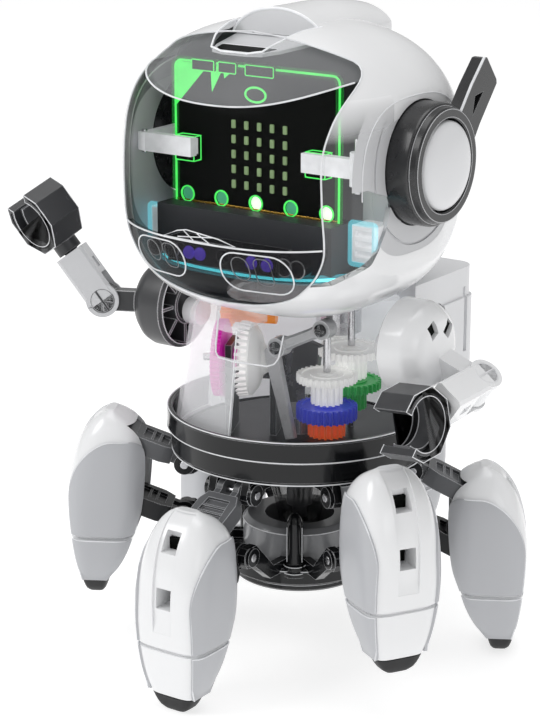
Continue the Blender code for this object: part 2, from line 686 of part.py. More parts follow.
def main_board():
    outline = superellipse(33.0, 30.5, 2.6, 32, (HEAD_CENTRE.x, HEAD_CENTRE.y))
    shape = prism(outline, 112.7, 114.3)
    return cut(shape, block((-60, 8, 100), (60, 60, 130)))


def sensor_module():
    shape = block((-17.6, -35.6, 114.7), (17.6, -30.0, 121.0))
    for x in (-13.5, 0.0, 13.5):
        frame = frame_along((x, 0, 117.8), (0, 1, 0))
        cut(shape, cylinder(2.0, -39, -33.6, 10, frame))
    return shape


def button_lever(side):
    """A bar that turns about its upright hinge and presses one of the board's buttons."""
    hinge_x, hinge_y, height = LEVER_HINGE
    at_hinge = Matrix.Translation((hinge_x, hinge_y, 0))
    shape = block((18.0, -25.6, height - 2.6), (hinge_x, -23.2, height + 2.6))
    join(shape, cylinder(2.0, height - 4.4, height + 4.4, 10, at_hinge))
    join(shape, block((hinge_x - 1.0, -25.0, height - 2.2), (hinge_x + 1.6, -8.6, height + 2.2)))
    if side < 0:
        shape.data.transform(Matrix.Scale(-1, 4, (1, 0, 0)))
        shape.data.flip_normals()
    return shape


def make_head():
    node("head_shell", head_shell(), "white_shell")
    node("visor", visor(), "smoke")
    node("head_crest", head_crest(), "white_shell")
    node("controller_board", controller_board(), "board")
    node("edge_connector", edge_connector(), "dark")
    node("main_board", main_board(), "board")
    node("sensor_module", sensor_module(), "dark")
    for name, side in (("left", 1), ("right", -1)):
        node(f"ear_ring_{name}", ear_ring(side), "dark", (side * EAR_FACE, *EAR_CENTRE))
        node(f"ear_cap_{name}", ear_cap(side), "white_shell", (side * EAR_FACE, *EAR_CENTRE))
        hinge = (side * LEVER_HINGE.x, LEVER_HINGE.y, LEVER_HINGE.z)
        node(f"button_lever_{name}", button_lever(side), "white_shell", hinge)


# ---------------------------------------------------------------- arms
class ArmPose:
    """Where one arm's joints lie: shoulder, elbow, wrist and hand."""

    def __init__(self, side, upper_direction, fore_direction, hand_axis):
        self.side = side
        self.shoulder = Vector((side * SHOULDER.x, SHOULDER.y, SHOULDER.z))
        self.upper = Vector(upper_direction).normalized()
        self.fore = Vector(fore_direction).normalized()
        self.elbow = self.shoulder + self.upper * UPPER_ARM_LENGTH
        self.hinge = self.upper.cross(self.fore).normalized()
        self.wrist = self.elbow + self.fore * (HAND_REACH - HAND_RADIUS - 3.0)
        self.hand = self.elbow + self.fore * HAND_REACH
        axis = Vector(hand_axis)
        self.hand_axis = (axis - self.fore * axis.dot(self.fore)).normalized()


LEFT_ARM = ArmPose(1, *LEFT_DIRECTIONS)
RIGHT_ARM = ArmPose(-1, *RIGHT_DIRECTIONS)


def upper_arm(pose):
    """A drum on the shoulder stub, and a flat arm out to the elbow's knuckle."""
    outward = frame_along((0, pose.shoulder.y, pose.shoulder.z), (pose.side, 0, 0))
    drum = DRUM_SHOULDER_RADIUS
    profile = [(4.6, 34.6), (drum - 1.2, 34.6), (drum, 36.0), (drum, 42.4), (9.4, 46.4), (0, 46.9)]
    profile += [(0, 36.5), (4.6, 36.5)]
    shape = turned(profile, 22, outward)
    along = frame_along(pose.shoulder, pose.upper, pose.hinge)
    arm = [(-2.9, -3.6), (2.9, -3.6), (2.9, 3.6), (-2.9, 3.6)]
    join(shape, prism(arm, 8.0, UPPER_ARM_LENGTH - 2.5, along))
    across = frame_along(pose.elbow, pose.hinge, pose.upper)
    return join(shape, cylinder(4.1, -3.7, 3.7, 16, across))


def forearm(pose):
    """Two cheeks round the elbow's knuckle, running into a square sleeve."""
    along = frame_along(pose.elbow, pose.fore, pose.hinge)
    wrist = (pose.wrist - pose.elbow).length
    outline = [(-4.2, -5.4), (4.2, -5.4), (4.2, 5.4), (-4.2, 5.4)]
    shape = prism(outline, 0.0, wrist, along)
    across = frame_along(pose.elbow, pose.hinge, pose.fore)
    join(shape, cylinder(4.5, -5.25, 5.25, 16, across))
    knuckle_space = [(-6.0, -4.0), (6.0, -4.0), (6.0, 4.0), (-6.0, 4.0)]
    cut(shape, prism(knuckle_space, -8.0, 6.6, along))
    return cut(shape, cylinder(2.4, wrist - 5.0, wrist + 1.0, 12, along))


def hand(pose):
    """An open ring on a round stem that turns in the forearm."""
    along = frame_along(pose.elbow, pose.fore, pose.hand_axis)
    wrist = (pose.wrist - pose.elbow).length
    stem = cylinder(2.0, wrist - 4.4, wrist + 4.2, 10, along)
    collar = cylinder(3.6, wrist + 0.4, wrist + 3.6, 12, along)
    through = frame_along(pose.hand, pose.hand_axis, pose.fore)
    opening = 38.0  # half of the ring's gap, in degrees
    # the gap faces away from the forearm
    outer = arc((0, 0), HAND_RADIUS, 90 + opening, 450 - opening, 15)
    inner = arc((0, 0), HAND_BORE, 450 - opening, 90 + opening, 15)
    ring = prism(outer + inner, -HAND_HALF_DEPTH, HAND_HALF_DEPTH, through)
    return join(ring, collar, stem)


def make_arms():
    for name, pose in (("left", LEFT_ARM), ("right", RIGHT_ARM)):
        node(f"upper_arm_{name}", upper_arm(pose), "white_shell", pose.shoulder)
        node(f"forearm_{name}", forearm(pose), "white_shell", pose.elbow)
        node(f"hand_{name}", hand(pose), "dark", pose.wrist)


clear_scene()
make_base()
make_legs()
make_waist()
make_head()
make_arms()
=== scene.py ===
"""Looks of the six-legged walking robot kit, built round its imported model.

Shapes are written in millimetres in the robot's own space: the turning axis is at x = y = 0, the
floor at z = 0, the robot faces -Y and its left is +X. piece() moves them to metres in the frame.
"""

import json
import math

import bmesh
import bpy
from mathutils import Matrix, Vector


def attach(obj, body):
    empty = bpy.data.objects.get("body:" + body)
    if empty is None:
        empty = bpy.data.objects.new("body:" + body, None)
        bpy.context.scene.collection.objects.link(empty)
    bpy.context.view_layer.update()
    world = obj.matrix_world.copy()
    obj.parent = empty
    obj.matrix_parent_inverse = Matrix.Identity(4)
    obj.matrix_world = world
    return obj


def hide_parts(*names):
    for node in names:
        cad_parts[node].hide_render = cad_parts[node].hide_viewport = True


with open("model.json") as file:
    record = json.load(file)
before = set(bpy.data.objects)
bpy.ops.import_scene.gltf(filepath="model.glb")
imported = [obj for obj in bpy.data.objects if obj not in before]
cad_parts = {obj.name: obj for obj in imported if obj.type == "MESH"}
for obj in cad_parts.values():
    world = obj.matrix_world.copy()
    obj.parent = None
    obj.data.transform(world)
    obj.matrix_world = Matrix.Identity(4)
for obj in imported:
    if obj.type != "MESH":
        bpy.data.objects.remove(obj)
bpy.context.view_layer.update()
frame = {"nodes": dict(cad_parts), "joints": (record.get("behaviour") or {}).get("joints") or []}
JOINTS = {joint["name"]: joint for joint in frame["joints"]}
MM = 0.001
AXIS = Vector(JOINTS["body_turn"]["pos_m"]) / MM
AXIS.z = 0.0
FRONT_VIEW = Matrix(((1, 0, 0, 0), (0, 0, 1, 0), (0, 1, 0, 0), (0, 0, 0, 1)))  # outlines in x and z
SIDE_VIEW = Matrix(((0, 0, 1, 0), (1, 0, 0, 0), (0, 1, 0, 0), (0, 0, 0, 1)))  # outlines in y and z
SIDES = (("left", 1), ("right", -1))


def joint_point(name):
    """A joint's place in the robot's own space."""
    return Vector(JOINTS[name]["pos_m"]) / MM - AXIS


def joint_axis(name):
    return Vector(JOINTS[name]["axis"]).normalized()


# ================================================================ materials
def new_material(name):
    made = bpy.data.materials.new(name)
    made.use_nodes = True
    return made, made.node_tree, made.node_tree.nodes["Principled BSDF"]


def object_noise(tree, scale, detail=3.0):
    coords = tree.nodes.new("ShaderNodeTexCoord")
    texture = tree.nodes.new("ShaderNodeTexNoise")
    texture.inputs["Scale"].default_value = scale
    texture.inputs["Detail"].default_value = detail
    tree.links.new(coords.outputs["Object"], texture.inputs["Vector"])
    return texture.outputs["Fac"]


def ranged(tree, value, low, high, from_low=0.3, from_high=0.7):
    """Maps a value into low..high."""
    made = tree.nodes.new("ShaderNodeMapRange")
    limits = {"From Min": from_low, "From Max": from_high, "To Min": low, "To Max": high}
    for socket, number in limits.items():
        made.inputs[socket].default_value = number
    tree.links.new(value, made.inputs["Value"])
    return made.outputs["Result"]


def mixed(tree, factor, first, second):
    """A colour between two; each is a colour triple or another node's output."""
    made = tree.nodes.new("ShaderNodeMix")
    made.data_type = "RGBA"
    for socket, colour in ((6, first), (7, second)):
        if isinstance(colour, tuple):
            made.inputs[socket].default_value = (*colour, 1.0)
        else:
            tree.links.new(colour, made.inputs[socket])
    tree.links.new(factor, made.inputs[0])
    return made.outputs[2]


def shaded(tree, noise, colour, share):
    """A colour that falls slowly to a share of itself and back."""
    return mixed(tree, ranged(tree, noise, 0.0, 1.0), tuple(c * share for c in colour), colour)


def edge_mask(tree, radius, start=0.012, full=0.1):
    """1 along sharp edges and 0 on flat faces, from how far a rounded normal leans."""
    rounded = tree.nodes.new("ShaderNodeBevel")
    rounded.samples = 6
    rounded.inputs["Radius"].default_value = radius * MM
    plain = tree.nodes.new("ShaderNodeNewGeometry")
    dot = tree.nodes.new("ShaderNodeVectorMath")
    dot.operation = "DOT_PRODUCT"
    tree.links.new(rounded.outputs["Normal"], dot.inputs[0])
    tree.links.new(plain.outputs["Normal"], dot.inputs[1])
    return ranged(tree, dot.outputs["Value"], 1.0, 0.0, 1.0 - full, 1.0 - start)


def grain(tree, shader, scale, strength):
    """Fine moulded texture."""
    bump = tree.nodes.new("ShaderNodeBump")
    bump.inputs["Strength"].default_value = strength
    bump.inputs["Distance"].default_value = 0.05 * MM
    tree.links.new(object_noise(tree, scale, 4.0), bump.inputs["Height"])
    tree.links.new(bump.outputs["Normal"], shader.inputs["Normal"])


def plastic(name, colour, roughness, coat=0.0, edge=None, edge_radius=0.3, texture=0.06, shift=0.04,
            gloss=0.5, lit=0.0):
    """Moulded plastic: slow changes of tone, fine grain, a painted highlight along sharp edges and a painted
    glow of its own colour.
    """
    made, tree, shader = new_material(name)
    slow = object_noise(tree, 60.0)
    darker = tuple(c * (1.0 - shift) for c in colour)
    lighter = tuple(min(c * (1.0 + shift), 1.0) for c in colour)
    shade = mixed(tree, ranged(tree, slow, 0.0, 1.0), darker, lighter)
    # painted highlight: a lighter edge colour laid along sharp edges
    if edge:
        shade = mixed(tree, edge_mask(tree, edge_radius), shade, edge)
    tree.links.new(shade, shader.inputs["Base Color"])
    rough = ranged(tree, object_noise(tree, 350.0), roughness * 0.92, roughness * 1.08)
    tree.links.new(rough, shader.inputs["Roughness"])
    shader.inputs["Coat Weight"].default_value = coat
    shader.inputs["Coat Roughness"].default_value = 0.08
    shader.inputs["Specular IOR Level"].default_value = gloss
    # painted glow: the plastic's own colour, emitted with strength lit
    tree.links.new(shade, shader.inputs["Emission Color"])
    shader.inputs["Emission Strength"].default_value = lit
    grain(tree, shader, 1800.0, texture)
    return made


def position(tree, axis):
    """One coordinate of the object's own space, in metres."""
    coords = tree.nodes.new("ShaderNodeTexCoord")
    split = tree.nodes.new("ShaderNodeSeparateXYZ")
    tree.links.new(coords.outputs["Object"], split.inputs[0])
    return split.outputs[axis]


def see_through(name, colour, alpha, roughness=0.1, gloss=0.35, lit=0.0, fade=None):
    """Clear plastic: a thin film of colour. fade = (axis, from, to, alpha there) thickens it."""
    made, tree, shader = new_material(name)
    slow = object_noise(tree, 40.0)
    shade = shaded(tree, slow, colour, 0.94)
    tree.links.new(shade, shader.inputs["Base Color"])
    film = ranged(tree, slow, alpha * 0.9, alpha * 1.1)
    if fade:
        axis, start, end, there = fade
        film = ranged(tree, position(tree, axis), alpha, there, start * MM, end * MM)
    tree.links.new(film, shader.inputs["Alpha"])
    tree.links.new(ranged(tree, slow, roughness * 0.7, roughness * 1.3), shader.inputs["Roughness"])
    shader.inputs["Specular IOR Level"].default_value = gloss
    tree.links.new(shade, shader.inputs["Emission Color"])
    shader.inputs["Emission Strength"].default_value = lit
    grain(tree, shader, 900.0, 0.02)
    return made


def metal(name, colour, roughness):
    made, tree, shader = new_material(name)
    slow = object_noise(tree, 300.0)
    tree.links.new(shaded(tree, slow, colour, 0.85), shader.inputs["Base Color"])
    tree.links.new(ranged(tree, slow, roughness * 0.7, roughness * 1.3), shader.inputs["Roughness"])
    shader.inputs["Metallic"].default_value = 1.0
    grain(tree, shader, 2500.0, 0.1)
    return made


def glowing(name, colour, strength):
    """An emitting surface for lamps and lit edges, and for painted highlight lines and painted glows on parts
    that are no lamps; its light changes slightly from place to place.
    """
    made, tree, shader = new_material(name)
    shade = shaded(tree, object_noise(tree, 200.0), colour, 0.8)
    tree.links.new(shade, shader.inputs["Base Color"])
    tree.links.new(shade, shader.inputs["Emission Color"])
    shader.inputs["Emission Strength"].default_value = strength
    shader.inputs["Roughness"].default_value = 0.4
    grain(tree, shader, 1500.0, 0.05)
    return made


def gear_plastic(name, colour, edge, lit, roughness=0.35):
    """Bright gear plastic with a painted highlight along its edges and a slight painted glow of its own
    colour, so it stays bright in the waist's shade.
    """
    return plastic(name, colour, roughness, edge=edge, edge_radius=0.15, lit=lit)


# PALE is the grey panels' own colour and the painted edge highlight of dark parts; every edge= colour below
# is a painted highlight along sharp edges
PALE = (0.5, 0.505, 0.52)
M = {
    "white": plastic("white_gloss", (0.88, 0.885, 0.895), 0.2, coat=0.4, texture=0.02, shift=0.012),
    "panel": plastic("grey_panel", PALE, 0.3, texture=0.03, shift=0.02),
    # the leg side plates' own light grey, made darker as painted shade on the legs' sides
    "side_grey": plastic("leg_side_grey", (0.5, 0.508, 0.53), 0.3, texture=0.02, shift=0.006),
    # the head shell's inside: white plastic drawn dark grey as painted shade
    "inside_shade_grey": plastic("inside_shade_grey", (0.3, 0.305, 0.315), 0.5, texture=0.05, gloss=0.2),
    "dark": plastic("dark_plastic", (0.012, 0.0125, 0.014), 0.3, edge=PALE, gloss=0.35),
    "dark_gloss": plastic("dark_gloss", (0.006, 0.0065, 0.0075), 0.16, coat=0.15,
                          edge=(0.55, 0.555, 0.57), gloss=0.3),
    "mid_grey": plastic("mid_grey", (0.12, 0.123, 0.13), 0.32, edge=(0.68, 0.69, 0.71), gloss=0.4),
    "dish": plastic("dish_grey", (0.6, 0.605, 0.62), 0.3, texture=0.02, shift=0.015),
    "drum": plastic("drum_grey", (0.25, 0.255, 0.265), 0.25, coat=0.3, edge=(0.8, 0.81, 0.83)),
    "rubber": plastic("rubber", (0.01, 0.01, 0.011), 0.55, texture=0.25, shift=0.1),
    "board": plastic("board_black", (0.0025, 0.003, 0.0025), 0.5, texture=0.04, gloss=0.05),
    "connector": plastic("connector_grey", (0.05, 0.052, 0.058), 0.5, texture=0.02, gloss=0.25),
    # gears: painted highlights along their edges (edge colours) and a slight painted glow (lit)
    "magenta": gear_plastic("magenta", (0.68, 0.02, 0.44), (0.95, 0.35, 0.75), 0.15),
    "orange": gear_plastic("orange", (0.95, 0.27, 0.012), (1.0, 0.55, 0.2), 0.25),
    "red": gear_plastic("orange_red", (0.9, 0.13, 0.02), (1.0, 0.42, 0.22), 0.2),
    "blue": gear_plastic("blue", (0.03, 0.05, 0.62), (0.25, 0.3, 0.95), 0.15),
    "green": gear_plastic("green", (0.006, 0.36, 0.055), (0.1, 0.7, 0.2), 0.15),
    "white_gear": gear_plastic("white_gear", (0.85, 0.85, 0.84), (0.97, 0.97, 0.96), 0.25, 0.4),
    "steel": metal("steel", (0.72, 0.72, 0.74), 0.25),
    "rod": plastic("rod_grey", (0.42, 0.425, 0.435), 0.28, coat=0.3, edge=(0.85, 0.86, 0.88), gloss=0.6),
    "gold": metal("gold_metal", (0.78, 0.45, 0.08), 0.25),
    "pad_core": glowing("pad_core", (0.06, 0.36, 0.2), 0.5),
    "pad_bright": glowing("pad_bright", (0.8, 0.95, 0.75), 0.9),
    "ear_dark": plastic("ear_dark", (0.014, 0.0145, 0.016), 0.28, coat=0.2, edge=(0.3, 0.305, 0.315)),
    "shoulder_dark": plastic("shoulder_dark", (0.05, 0.051, 0.054), 0.35, edge=(0.75, 0.755, 0.77),
                             edge_radius=0.6),
    "claw": plastic("claw_dark", (0.03, 0.031, 0.034), 0.3, edge=PALE, edge_radius=0.35),
    "panel_white": plastic("satin_white", (0.76, 0.765, 0.78), 0.3, texture=0.02, shift=0.015),
    # pale_line: thin glowing beads along edges, painted highlight lines
    "line": glowing("pale_line", (0.78, 0.79, 0.81), 0.12),
    "lit_white": glowing("lit_white", (0.86, 0.87, 0.89), 0.22),
    "glow_green": glowing("green_edge_light", (0.06, 0.7, 0.1), 1.1),
    "halo_green": see_through("green_halo", (0.05, 0.6, 0.1), 0.1, gloss=0.0, lit=0.8),
    "glow_cyan": glowing("cyan_edge_light", (0.12, 0.8, 0.9), 2.6),
    "halo_cyan": see_through("cyan_halo", (0.15, 0.75, 0.88), 0.16, gloss=0.0, lit=1.3),
    "glow_purple": glowing("violet_lamp", (0.1, 0.05, 0.55), 1.5),
    "glow_led": glowing("led_light", (0.16, 0.24, 0.11), 0.7),
    # the milky waist parts carry a painted glow of their own colour (lit)
    "milky": see_through("milky_waist", (0.86, 0.87, 0.89), 0.27, lit=0.25),
    "waist_back": see_through("milky_back", (0.85, 0.86, 0.88), 0.7, lit=0.3),
    "pane": see_through("clear_pane", (0.75, 0.78, 0.82), 0.025),
    "smoke_cup": see_through("smoked_cup", (0.012, 0.0125, 0.014), 0.42, gloss=0.6),
    "visor_brow": see_through("visor_brow", (0.62, 0.63, 0.65), 0.16, roughness=0.3, gloss=0.15),
    "visor_front": see_through("visor_front", (0.02, 0.021, 0.023), 0.03, gloss=0.25,
                               fade=(0, -17.0, -21.5, 0.6)),
    "visor_band": see_through("visor_band", (0.006, 0.006, 0.008), 0.5, gloss=0.2),
    "cheek": see_through("clear_cheek", (0.9, 0.905, 0.915), 0.05, gloss=0.2,
                         fade=(2, 150.0, 160.0, 1.0)),
}


# ================================================================ mesh helpers (millimetres)
def linked(name, data):
    """A new object in the scene."""
    made = bpy.data.objects.new(name, data)
    bpy.context.collection.objects.link(made)
    return made


def raw_object(builder):
    mesh = bpy.data.meshes.new("shape")
    bmesh.ops.recalc_face_normals(builder, faces=builder.faces)
    builder.to_mesh(mesh)
    builder.free()
    return linked("shape", mesh)


def rectangle(x0, y0, x1, y1):
    return [(x0, y0), (x1, y0), (x1, y1), (x0, y1)]


def prism(outline, low, high, space=None):
    """A flat outline of (a, b) points, extruded along the space's third axis."""
    space = space or Matrix.Identity(4)
    builder = bmesh.new()
    bottom = [builder.verts.new(space @ Vector((a, b, low))) for a, b in outline]
    top = [builder.verts.new(space @ Vector((a, b, high))) for a, b in outline]
    count = len(outline)
    builder.faces.new(bottom[::-1])
    builder.faces.new(top)
    for i in range(count):
        j = (i + 1) % count
        builder.faces.new((bottom[i], bottom[j], top[j], top[i]))
    return raw_object(builder)


def turned(profile, segments=64, space=None):
    """A closed (radius, height) profile, spun round the space's third axis."""
    space = space or Matrix.Identity(4)
    builder = bmesh.new()
    rings = []
    for radius, height in profile:
        if radius < 1e-6:
            rings.append([builder.verts.new(space @ Vector((0, 0, height)))] * segments)
            continue
        turns = [2 * math.pi * i / segments for i in range(segments)]
        ring = [Vector((radius * math.cos(t), radius * math.sin(t), height)) for t in turns]
        rings.append([builder.verts.new(space @ point) for point in ring])
    for first, second in zip(rings, rings[1:] + rings[:1]):
        for i in range(segments):
            j = (i + 1) % segments
            corners = []
            for corner in (first[i], first[j], second[j], second[i]):
                if corner not in corners:
                    corners.append(corner)
            if len(corners) > 2:
                builder.faces.new(corners)
    return raw_object(builder)


def cylinder(radius, low, high, segments=40, space=None):
    return turned(rectangle(0, low, radius, high), segments, space)


def block(low, high):
    outline = [(low[0], low[1]), (high[0], low[1]), (high[0], high[1]), (low[0], high[1])]
    return prism(outline, low[2], high[2])


def combine(target, tool, operation):
    step = target.modifiers.new(operation, "BOOLEAN")
    step.operation = operation
    step.object = tool
    evaluated = target.evaluated_get(bpy.context.evaluated_depsgraph_get())
    mesh = bpy.data.meshes.new_from_object(evaluated)
    target.modifiers.clear()
    target.data = mesh
    bpy.data.objects.remove(tool)
    return target


def cut(target, *tools):
    for tool in tools:
        combine(target, tool, "DIFFERENCE")
    return target


def join(target, *tools):
    for tool in tools:
        combine(target, tool, "UNION")
    return target


def gathered(parts):
    """Several solids in one mesh, side by side."""
    builder = bmesh.new()
    for part in parts:
        builder.from_mesh(part.data)
        bpy.data.objects.remove(part)
    return raw_object(builder)


def space_along(origin, third, second=(0, 0, 1)):
    z = Vector(third).normalized()
    x = Vector(second).cross(z).normalized()
    y = z.cross(x)
    turn = Matrix((x, y, z)).transposed().to_4x4()
    return Matrix.Translation(Vector(origin)) @ turn


def skin(rows, closed_rows=False, ring=False, ends=False):
    """Faces through rows of points; closed rows meet themselves, a ring's last row meets its first."""
    builder = bmesh.new()
    made = [[builder.verts.new(point) for point in row] for row in rows]
    width = len(rows[0])
    for low, high in zip(made, made[1:] + (made[:1] if ring else [])):
        for i in range(width if closed_rows else width - 1):
            j = (i + 1) % width
            builder.faces.new((low[i], low[j], high[j], high[i]))
    if ends:
        builder.faces.new(made[0][::-1])
        builder.faces.new(made[-1])
    return raw_object(builder)


def loft(rows):
    """A closed solid through closed rows of points, with flat ends."""
    return skin(rows, closed_rows=True, ends=True)


def tube(points, radius, closed=False, sides=8):
    """A thin round bead along a path."""
    count = len(points)
    rows = []
    normal = None
    for i, point in enumerate(points):
        before = points[i - 1] if closed or i else points[i]
        after = points[(i + 1) % count] if closed or i < count - 1 else points[i]
        tangent = (after - before).normalized()
        if normal is None:
            helper = Vector((0, 0, 1)) if abs(tangent.z) < 0.9 else Vector((1, 0, 0))
            normal = tangent.cross(helper).normalized()
        normal = (normal - tangent * normal.dot(tangent)).normalized()
        side = tangent.cross(normal)
        turns = [2 * math.pi * k / sides for k in range(sides)]
        rows.append([point + (normal * math.cos(t) + side * math.sin(t)) * radius for t in turns])
    return skin(rows, closed_rows=True, ring=closed, ends=not closed)


def in_front(outline, y):
    """An outline in x and z, set upright at one depth."""
    return [Vector((x, y, z)) for x, z in outline]


def circle_line(space, radius, level, turn, count):
    """Points round the space's third axis, so many to a radian."""
    return [space @ Vector((radius * math.cos(k / turn), radius * math.sin(k / turn), level))
            for k in range(count)]


def arc(centre, radius, start, end, steps):
    turns = [math.radians(start + (end - start) * i / steps) for i in range(steps + 1)]
    return [(centre[0] + radius * math.cos(t), centre[1] + radius * math.sin(t)) for t in turns]


def rounded_rectangle(low, high, corner, steps=6):
    """Outline points of a rectangle with round corners."""
    points = []
    places = ((1, 1, 0), (0, 1, 90), (0, 0, 180), (1, 0, 270))
    for x, y, start in places:
        centre_x = high[0] - corner if x else low[0] + corner
        centre_y = high[1] - corner if y else low[1] + corner
        points += arc((centre_x, centre_y), corner, start, start + 90, steps)
    return points


def unit(value):
    """A value held between 0 and 1."""
    return min(max(value, 0.0), 1.0)


def signed_power(value, power):
    return math.copysign(abs(value) ** power, value)


def smooth_curve(points, value):
    """The second coordinate at a first coordinate, on a smooth curve through the points."""
    count = len(points)
    if value <= points[0][0]:
        return points[0][1]
    for i in range(count - 1):
        if value <= points[i + 1][0]:
            x0, y0 = points[i]
            x1, y1 = points[i + 1]
            before = points[i - 1] if i else points[i]
            after = points[i + 2] if i + 2 < count else points[i + 1]
            slope0 = (y1 - before[1]) / max(x1 - before[0], 1e-9)
            slope1 = (after[1] - y0) / max(after[0] - x0, 1e-9)
            t = (value - x0) / (x1 - x0)
            span = x1 - x0
            first = (2 * t ** 3 - 3 * t ** 2 + 1) * y0 + (t ** 3 - 2 * t ** 2 + t) * span * slope0
            second = (-2 * t ** 3 + 3 * t ** 2) * y1 + (t ** 3 - t ** 2) * span * slope1
            return first + second
    return points[-1][1]


def bevelled(shape, width=0.3, segments=2, angle=32):
    step = shape.modifiers.new("edges", "BEVEL")
    step.width = width * MM
    step.segments = segments
    step.limit_method = "ANGLE"
    step.angle_limit = math.radians(angle)
    even = shape.modifiers.new("even_faces", "WEIGHTED_NORMAL")
    even.keep_sharp = True
    return shape


def piece(name, shape, look, body, replaces=None, travel=None, bevel=0.0, smooth=35):
    """Puts a finished shape in the frame, on its body."""
    shape.name = name
    shape.data.name = name
    if travel is not None:
        shape.data.transform(travel)
        if travel.determinant() < 0:
            shape.data.flip_normals()
    shape.data.transform(Matrix.Scale(MM, 4) @ Matrix.Translation(AXIS))
    shape.data.materials.clear()
    shape.data.materials.append(M[look])
    shape.data.shade_smooth()
    shape.data.set_sharp_from_angle(angle=math.radians(smooth))
    if bevel:
        bevelled(shape, bevel)
    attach(shape, body)
    if replaces:
        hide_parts(replaces)
    return shape


def copy_of(shape):
    return linked(shape.name, shape.data.copy())


def dress(node, look, bevel=0.25):
    """Keeps a CAD solid and gives it a finished material and softened edges."""
    cad = frame["nodes"][node]
    cad.data.materials.clear()
    cad.data.materials.append(M[look])
    if bevel:
        bevelled(cad, bevel)


# ================================================================ legs
LEG_COUNT = 6
LINK_DOWN = math.radians(-27.0)
RAISED = math.radians(47.06)  # how much higher the links of the three lifted legs stand
LINK = 17.0  # from a link's hub pivot to its leg pivot
PIN_RADIUS = 1.15
UPPER_PIVOT, LOWER_PIVOT = (31.3, 53.2), (32.5, 36.0)  # the hub pivots' reach and height
# each list gives a measure at a height: the front and the back of the leg, and half its width
LEG_OUTER = [(0, 58.6), (1.0, 59.4), (4, 60.3), (10, 61.8), (20, 63.0), (30, 63.4), (38, 62.6), (45, 60.6)]
LEG_OUTER += [(49.5, 58.0), (52.2, 55.2), (53.8, 52.4)]
LEG_INNER = [(0, 54.4), (1.0, 53.7), (4, 52.8), (10, 50.8), (18, 48.2), (25, 45.8), (32, 44.8), (41, 44.3)]
LEG_INNER += [(47, 44.8), (51.0, 46.6), (53.8, 50.0)]
LEG_WIDTH = [(0, 3.2), (1.2, 4.8), (4, 6.4), (9, 8.3), (14, 9.5), (20, 10.3), (30, 10.8), (40, 10.5)]
LEG_WIDTH += [(46, 9.7), (50.0, 8.0), (52.6, 5.6), (53.8, 3.0)]
GROOVE = 18.2  # height of the groove between the leg's two covers


def leg_inner(height):
    """The leg's back, towards the body; the covers are deepest over the links."""
    deep = unit((height - 4.0) / 12.0) * unit((53.0 - height) / 9.0)
    return smooth_curve(LEG_INNER, height) - 3.2 * deep * (2.0 - deep)


def leg_squareness(height):
    """How square the leg's level outline is; it grows rounder towards the top."""
    return 4.6 - 1.9 * unit((height - 24.0) / 26.0)


def leg_section(height, grow=0.0, steps=56):
    """One level outline of the leg, in front of the robot."""
    outer = smooth_curve(LEG_OUTER, height) - 0.15 + grow
    inner = leg_inner(height) - grow
    width = smooth_curve(LEG_WIDTH, height) + grow
    exponent = leg_squareness(height)
    middle, half = (outer + inner) / 2, (outer - inner) / 2
    points = []
    for i in range(steps):
        t = 2 * math.pi * i / steps
        reach = middle + half * signed_power(math.cos(t), 2 / exponent)
        across = width * signed_power(math.sin(t), 2 / exponent)
        points.append(Vector((across, -reach, height)))
    return points


def leg_heights(low, high, steps):
    return [low + (high - low) * i / steps for i in range(steps + 1)]


def leg_side(height, share):
    """Half width of the leg's surface at a share of its depth, -1 at the back to 1 at the front."""
    exponent = leg_squareness(height)
    return smooth_curve(LEG_WIDTH, height) * (1 - min(abs(share), 1.0) ** exponent) ** (1 / exponent)


def leg_cover():
    """The white shell: upper cover, groove, lower cover, channel, windows and link space."""
    heights = leg_heights(4.6, 50.0, 34) + [51.0, 51.9, 52.6, 53.2, 53.6, 53.8]
    shape = loft([leg_section(h) for h in heights])
    ring = [leg_section(GROOVE + d, 3.0) for d in (-0.55, 0.55)]
    core = [leg_section(GROOVE + d, -0.9) for d in (-1.4, 1.4)]
    cut(shape, cut(loft(ring), loft(core)))
    cut(shape, block((-6.6, -56.3, 20.5), (6.6, -30, 47.4)), block((-6.6, -52.0, 47.0), (6.6, -30, 50.2)))
    channel = []
    for height in leg_heights(23.0, 53.4, 22):
        depth = 0.9 * min((height - 22.0) / 4.0, 1.0)
        reach = smooth_curve(LEG_OUTER, height) - depth
        half = 3.0 + 0.5 * (height - 23.0) / 30.0
        channel.append([Vector((x, y, height)) for x, y in
                        ((-half, -80), (half, -80), (half, -reach), (-half, -reach))])
    cut(shape, loft(channel))
    for low, high in ((44.2, 49.6), (29.6, 35.2)):
        cut(shape, block((-2.3, -70, low), (2.3, -55.2, high)))
    return shape


def panel_rows(low, high, side, lift):
    """Rows of points over a curved plate on the leg's side, between two heights."""
    rows = []
    for i in range(31):
        height = low + (high - low) * math.sin(math.pi / 2 * i / 30)
        outer, inner = smooth_curve(LEG_OUTER, height), leg_inner(height)
        middle, half = (outer + inner) / 2, (outer - inner) / 2
        arch, corner = unit((height - 30.0) / 16.2), unit((height - 42.0) / 4.2)
        front = outer - 1.0 - 9.0 * (1 - math.sqrt(1 - arch ** 2))
        back = inner + 0.5 + 3.4 * (1 - math.sqrt(1 - corner ** 2))
        row = []
        for k in range(15):
            reach = back + (front - back) * k / 14
            across = max(leg_side(height, (reach - middle) / half), 7.1) + lift
            row.append(Vector((side * across, -reach, height)))
        rows.append(row)
    return rows


